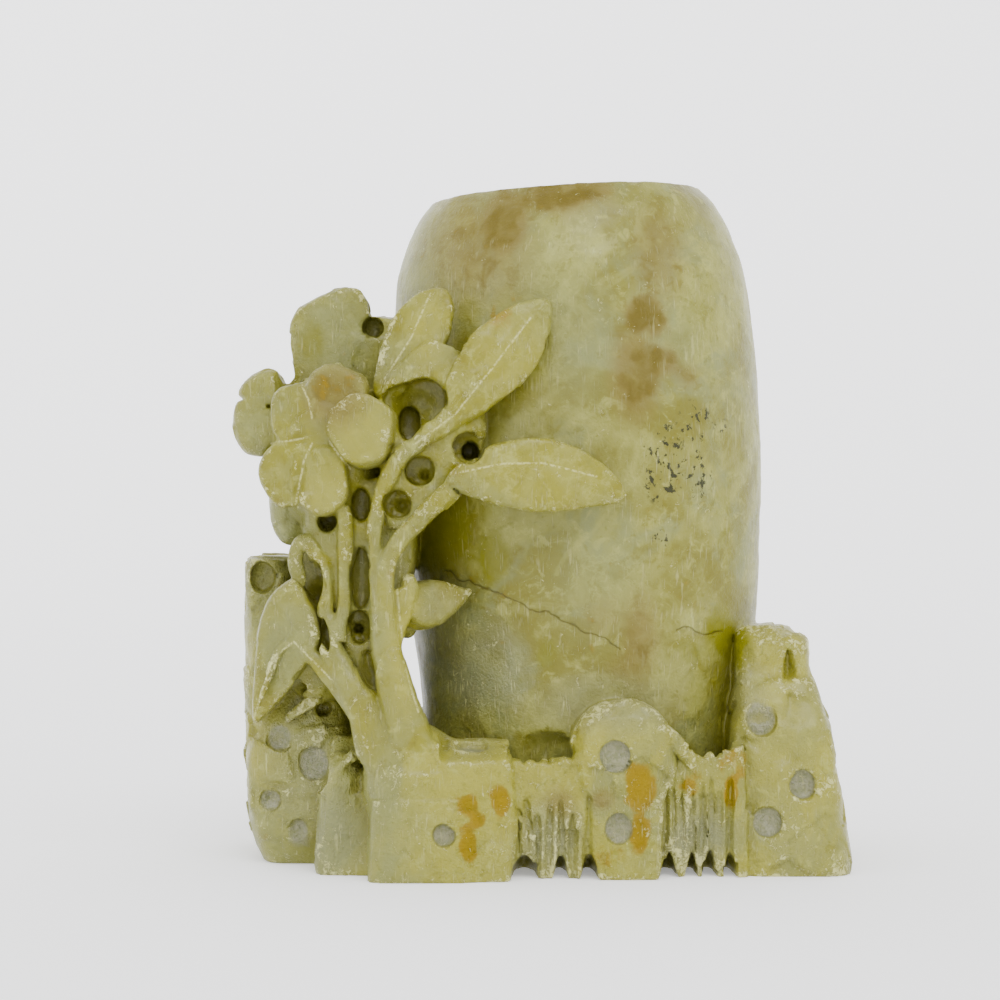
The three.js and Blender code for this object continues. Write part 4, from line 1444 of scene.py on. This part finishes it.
    def _colour(self, shop: Shop, place: Signal, mottle: Signal, grain: Signal) -> Signal:
        """Mix the stone's colours in the order that they lie over each other."""
        clouds = shop.noise(place, 22.0, 5.0, 1.2)
        veins = shop.noise(place, 10.0, 6.0, 2.0, 0.6)
        mix, mask = shop.mix, shop.attribute
        body = mix(self.body, self.olive, clouds.above(0.44, 0.6) * 0.8)
        body = mix(body, self.green, shop.noise(place, 13.0, 4.0, 0.8).above(0.48, 0.64) * 0.7)
        body = mix(body, self.pale, veins.above(0.5, 0.7) * 0.45)
        body = mix(body, self.olive, mottle.above(0.5, 0.7) * 0.6)
        leaf = mix(self.leaf, self.leaf_deep, mottle.above(0.42, 0.66) * 0.7)
        leaf = mix(leaf, self.body, veins.above(0.46, 0.62) * 0.6)
        leaf = mix(leaf, self.green, clouds.above(0.48, 0.62) * 0.45)
        tinted = mix(body, leaf, mask("leafy") * 0.9)
        rocky = mix(mix(leaf, self.straw, 0.65), self.green, clouds.above(0.45, 0.6) * 0.6)
        tinted = mix(tinted, rocky, mask("rocky") * 0.75)
        wisps = abs(shop.noise(place, 7.0, 5.0, 0.2, 0.65) - 0.5).above(0.03, 0.0)
        tinted = mix(tinted, self.pale, wisps * clouds.above(0.56, 0.42) * 0.4)
        tinted = mix(tinted, self.pale, shop.noise(place, 2.6, 4.0, 0.8, 0.65).above(0.55, 0.68) * 0.55)
        tinted = mix(tinted, self.olive, shop.noise(place, 1.9, 4.0, 0.5, 0.65).above(0.55, 0.68) * 0.55)
        tinted = mix(tinted, self.green, (mask("jade") * (0.4 + mottle)).clamp() * 0.75)
        tinted = mix(tinted, self.straw, (mask("straw") * (0.3 + mottle)).clamp() * 0.75)
        tinted = mix(tinted, self.ash, (mask("ash") * (0.5 + mottle)).clamp() * 0.8)
        moss = (mask("moss") * 1.3 + mottle - 0.6).above(0.1, 0.7)
        tinted = mix(tinted, self.moss, moss * 0.85)
        tinted = mix(tinted, self.blush, (mask("umber") * 1.3).clamp() * 0.8)
        tinted = mix(tinted, self.umber, (mask("umber") * 0.9 + 2.2 * mottle - 1.5).above(0.0, 0.7) * 0.7)
        ochre = (mask("ochre") * 1.3 + 1.8 * mottle + 0.8 * grain - 1.5).above(0.1, 0.5)
        tinted = mix(tinted, self.ochre, ochre * 0.9)
        # painted shade: hollows are darkened towards the hollow colour by the recess mask
        tinted = mix(tinted, self.hollow, (mask("painted_recess_shade") * 1.2 + 0.5 * mottle - 0.35).clamp() * 0.65)
        # painted shade in creases: the groove mask darkens them towards leaf_deep
        tinted = mix(tinted, self.leaf_deep, mask("groove") * (1 - mask("ash")) * 0.35)
        dots = shop.noise(place, 1.3, 4.0, 0.2, 0.6)
        speck = (mask("speck") * dots.above(0.55, 0.61)).above(0.2, 0.5)
        tinted = mix(tinted, self.soot, speck * 0.95)
        grit = mix(self.ash, self.chalk, shop.noise(place, 0.9, 3.0, 0.0, 0.7).above(0.38, 0.62))
        return mix(tinted, grit, mask("chalk") * (0.75 + 0.25 * grain))


# ---------------------------------------------------------------- the pieces and the studio


def mesh_of(name: str, points: Array, faces: Array) -> bpy.types.Mesh:
    """Put points in millimetres and faces into a mesh in metres."""
    mesh = bpy.data.meshes.new(name)
    corners = faces.shape[1]
    mesh.vertices.add(len(points))
    mesh.vertices.foreach_set("co", (points * METRES).astype(np.float32).ravel())
    mesh.loops.add(faces.size)
    mesh.loops.foreach_set("vertex_index", faces.ravel().astype(np.int32))
    mesh.polygons.add(len(faces))
    mesh.polygons.foreach_set("loop_start", np.arange(0, faces.size, corners, dtype=np.int32))
    mesh.update(calc_edges=True)
    return mesh


def placed(name: str, mesh: bpy.types.Mesh) -> bpy.types.Object:
    """Link a mesh into the scene as an object at the origin."""
    made = bpy.data.objects.new(name, mesh)
    bpy.context.scene.collection.objects.link(made)
    return made


@dataclass
class PenHolder:
    """The whole carving as one piece of stone."""

    voxel: float = 0.4
    vessel: Vessel = field(default_factory=Vessel)
    base: Base = field(default_factory=Base)
    branch: Branch = field(default_factory=Branch)
    finish: Soapstone = field(default_factory=Soapstone)

    def build(self, low: Array, high: Array) -> bpy.types.Object:
        """Carve the block, take its skin, wear it and dress it.

        Args:
            low: The CAD box's low corner in millimetres, which the skin stays inside.
            high: Its high corner.

        Returns:
            The finished piece.
        """
        block = StoneBlock(voxel=self.voxel)
        self.vessel.add_to(block)
        self.base.add_to(block)
        self.branch.add_to(block)
        self.base.cut_from(block)
        self.branch.cut_from(block)
        self.vessel.hollow(block)
        LOG.info("block carved: %s voxels", block.distance.size)
        points, quads = block.skin()
        points = worn(points, vertex_normals(points, quads), block)
        points = np.clip(points, low, high)
        LOG.info("skin: %s points", len(points))
        stone = self._thinned(points, quads)
        self._hold_in(stone.data, low, high)
        self._write_masks(stone.data, block)
        stone.data.materials.clear()
        stone.data.materials.append(self.finish.material())
        stone.data.shade_smooth()
        return stone

    @staticmethod
    def _thinned(points: Array, quads: Array) -> bpy.types.Object:
        """Thin the skin to TRIANGLES, which keeps its edges and thins its flats."""
        full = placed("full_skin", mesh_of("full_skin", points, quads))
        thin = full.modifiers.new("thin", "DECIMATE")
        thin.ratio = min(1.0, TRIANGLES / (2 * len(quads)))
        view = bpy.context.evaluated_depsgraph_get()
        mesh = bpy.data.meshes.new_from_object(full.evaluated_get(view))
        mesh.name = "soapstone_carving"
        bpy.data.objects.remove(full)
        return placed("soapstone_carving", mesh)

    @staticmethod
    def _hold_in(mesh: bpy.types.Mesh, low: Array, high: Array) -> None:
        """Move a mesh's points back inside a box given in millimetres."""
        flat = np.empty(3 * len(mesh.vertices), np.float32)
        mesh.vertices.foreach_get("co", flat)
        held = np.clip(flat.reshape(-1, 3), (low + 0.01) * METRES, (high - 0.01) * METRES)
        mesh.vertices.foreach_set("co", held.ravel())
        mesh.update()

    def _write_masks(self, mesh: bpy.types.Mesh, block: StoneBlock) -> None:
        """Write the weathering and painted-shade masks onto the mesh as attributes."""
        count = len(mesh.vertices)
        points, normals = np.empty(count * 3), np.empty(count * 3)
        mesh.vertices.foreach_get("co", points)
        mesh.vertex_normals.foreach_get("vector", normals)
        points, normals = points.reshape(-1, 3) / METRES, normals.reshape(-1, 3)
        for name, values in WeatheringAndPaintedShade(block, self.base).masks(points, normals).items():
            layer = mesh.attributes.new(name, "FLOAT", "POINT")
            layer.data.foreach_set("value", values.astype(np.float32))


@dataclass
class Studio:
    """The pale floor that curves up far behind, the soft lights and the camera."""

    flat: float = 900.0
    reach: float = 2600.0
    rise: float = 1700.0
    floor_grey: float = 0.9
    floor_glow: float = 0.35
    sky: float = 1.7
    sun: float = 3.9
    sun_from: Point = (0.45, -1.0, 0.85)
    sun_spread: float = 50.0  # degrees
    camera_at: Point = (-15.5, -420.0, 63.0)
    lens: float = 84.0

    def floor(self) -> None:
        """Make the floor: flat to a radius, then rising with the square of the way beyond it."""
        line = np.linspace(-self.reach, self.reach, 121)
        x, y = np.meshgrid(line, line, indexing="ij")
        beyond = np.clip(np.hypot(x, y) - self.flat, 0, None) / (self.reach - self.flat)
        points = np.stack([x, y, self.rise * beyond**2], axis=-1).reshape(-1, 3)
        corner = (np.arange(120)[:, None] * 121 + np.arange(120)[None, :]).ravel()
        mesh = mesh_of("floor", points, np.stack([corner, corner + 121, corner + 122, corner + 1], axis=-1))
        material = bpy.data.materials.new("studio_floor")
        shop = Shop(material)
        grey = (self.floor_grey, self.floor_grey, self.floor_grey * 1.01, 1.0)
        values = {"Base Color": grey, "Roughness": 0.9, "Emission Color": grey}
        values["Emission Strength"] = self.floor_glow
        shop.show(shop.node("ShaderNodeBsdfPrincipled", {}, values))
        mesh.materials.append(material)
        mesh.shade_smooth()
        placed("floor", mesh)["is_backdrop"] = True

    def light(self) -> None:
        """Hang one very broad soft light above the camera's right shoulder."""
        lamp = bpy.data.lights.new("soft_sun", "SUN")
        lamp.energy = self.sun
        lamp.angle = math.radians(self.sun_spread)
        made = bpy.data.objects.new("soft_sun", lamp)
        made.rotation_euler = Vector(self.sun_from).to_track_quat("Z", "Y").to_euler()
        bpy.context.scene.collection.objects.link(made)

    def world(self) -> None:
        """Light everything evenly from a pale sky."""
        sky = bpy.data.worlds.new("pale_sky")
        sky.use_nodes = True
        background = sky.node_tree.nodes["Background"]
        background.inputs["Color"].default_value = (1.0, 1.0, 1.0, 1.0)
        background.inputs["Strength"].default_value = self.sky
        bpy.context.scene.world = sky

    def camera(self) -> None:
        """Set the camera level with the object's middle, at the photograph's angle."""
        lens = bpy.data.cameras.new("camera")
        lens.lens = self.lens
        lens.sensor_width = 36.0
        lens.clip_start, lens.clip_end = 0.01, 20.0
        made = bpy.data.objects.new("camera", lens)
        made.location = [c * METRES for c in self.camera_at]
        made.rotation_euler = (math.pi / 2, 0, 0)
        bpy.context.scene.collection.objects.link(made)
        bpy.context.scene.camera = made

    def build(self) -> None:
        """Set up the floor, world, lights and camera."""
        self.floor()
        self.world()
        self.light()
        self.camera()


def main() -> None:
    """Load the frame, build the studio and the pen holder inside the frame's box, and log the stone's faces."""
    logging.basicConfig(level=logging.INFO, format="%(name)s: %(message)s")
    for item in list(bpy.data.objects):
        bpy.data.objects.remove(item)
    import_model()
    cad_box = [[float(c) for c in corner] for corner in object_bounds()]
    Studio().build()
    low, high = (np.array(corner) / METRES for corner in cad_box)
    holder = PenHolder(voxel=0.36)
    stone = holder.build(low, high)
    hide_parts(NODE)
    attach(stone, "root")
    LOG.info("%s: %s faces", stone.name, len(stone.data.polygons))


if __name__ == "__main__":
    main()
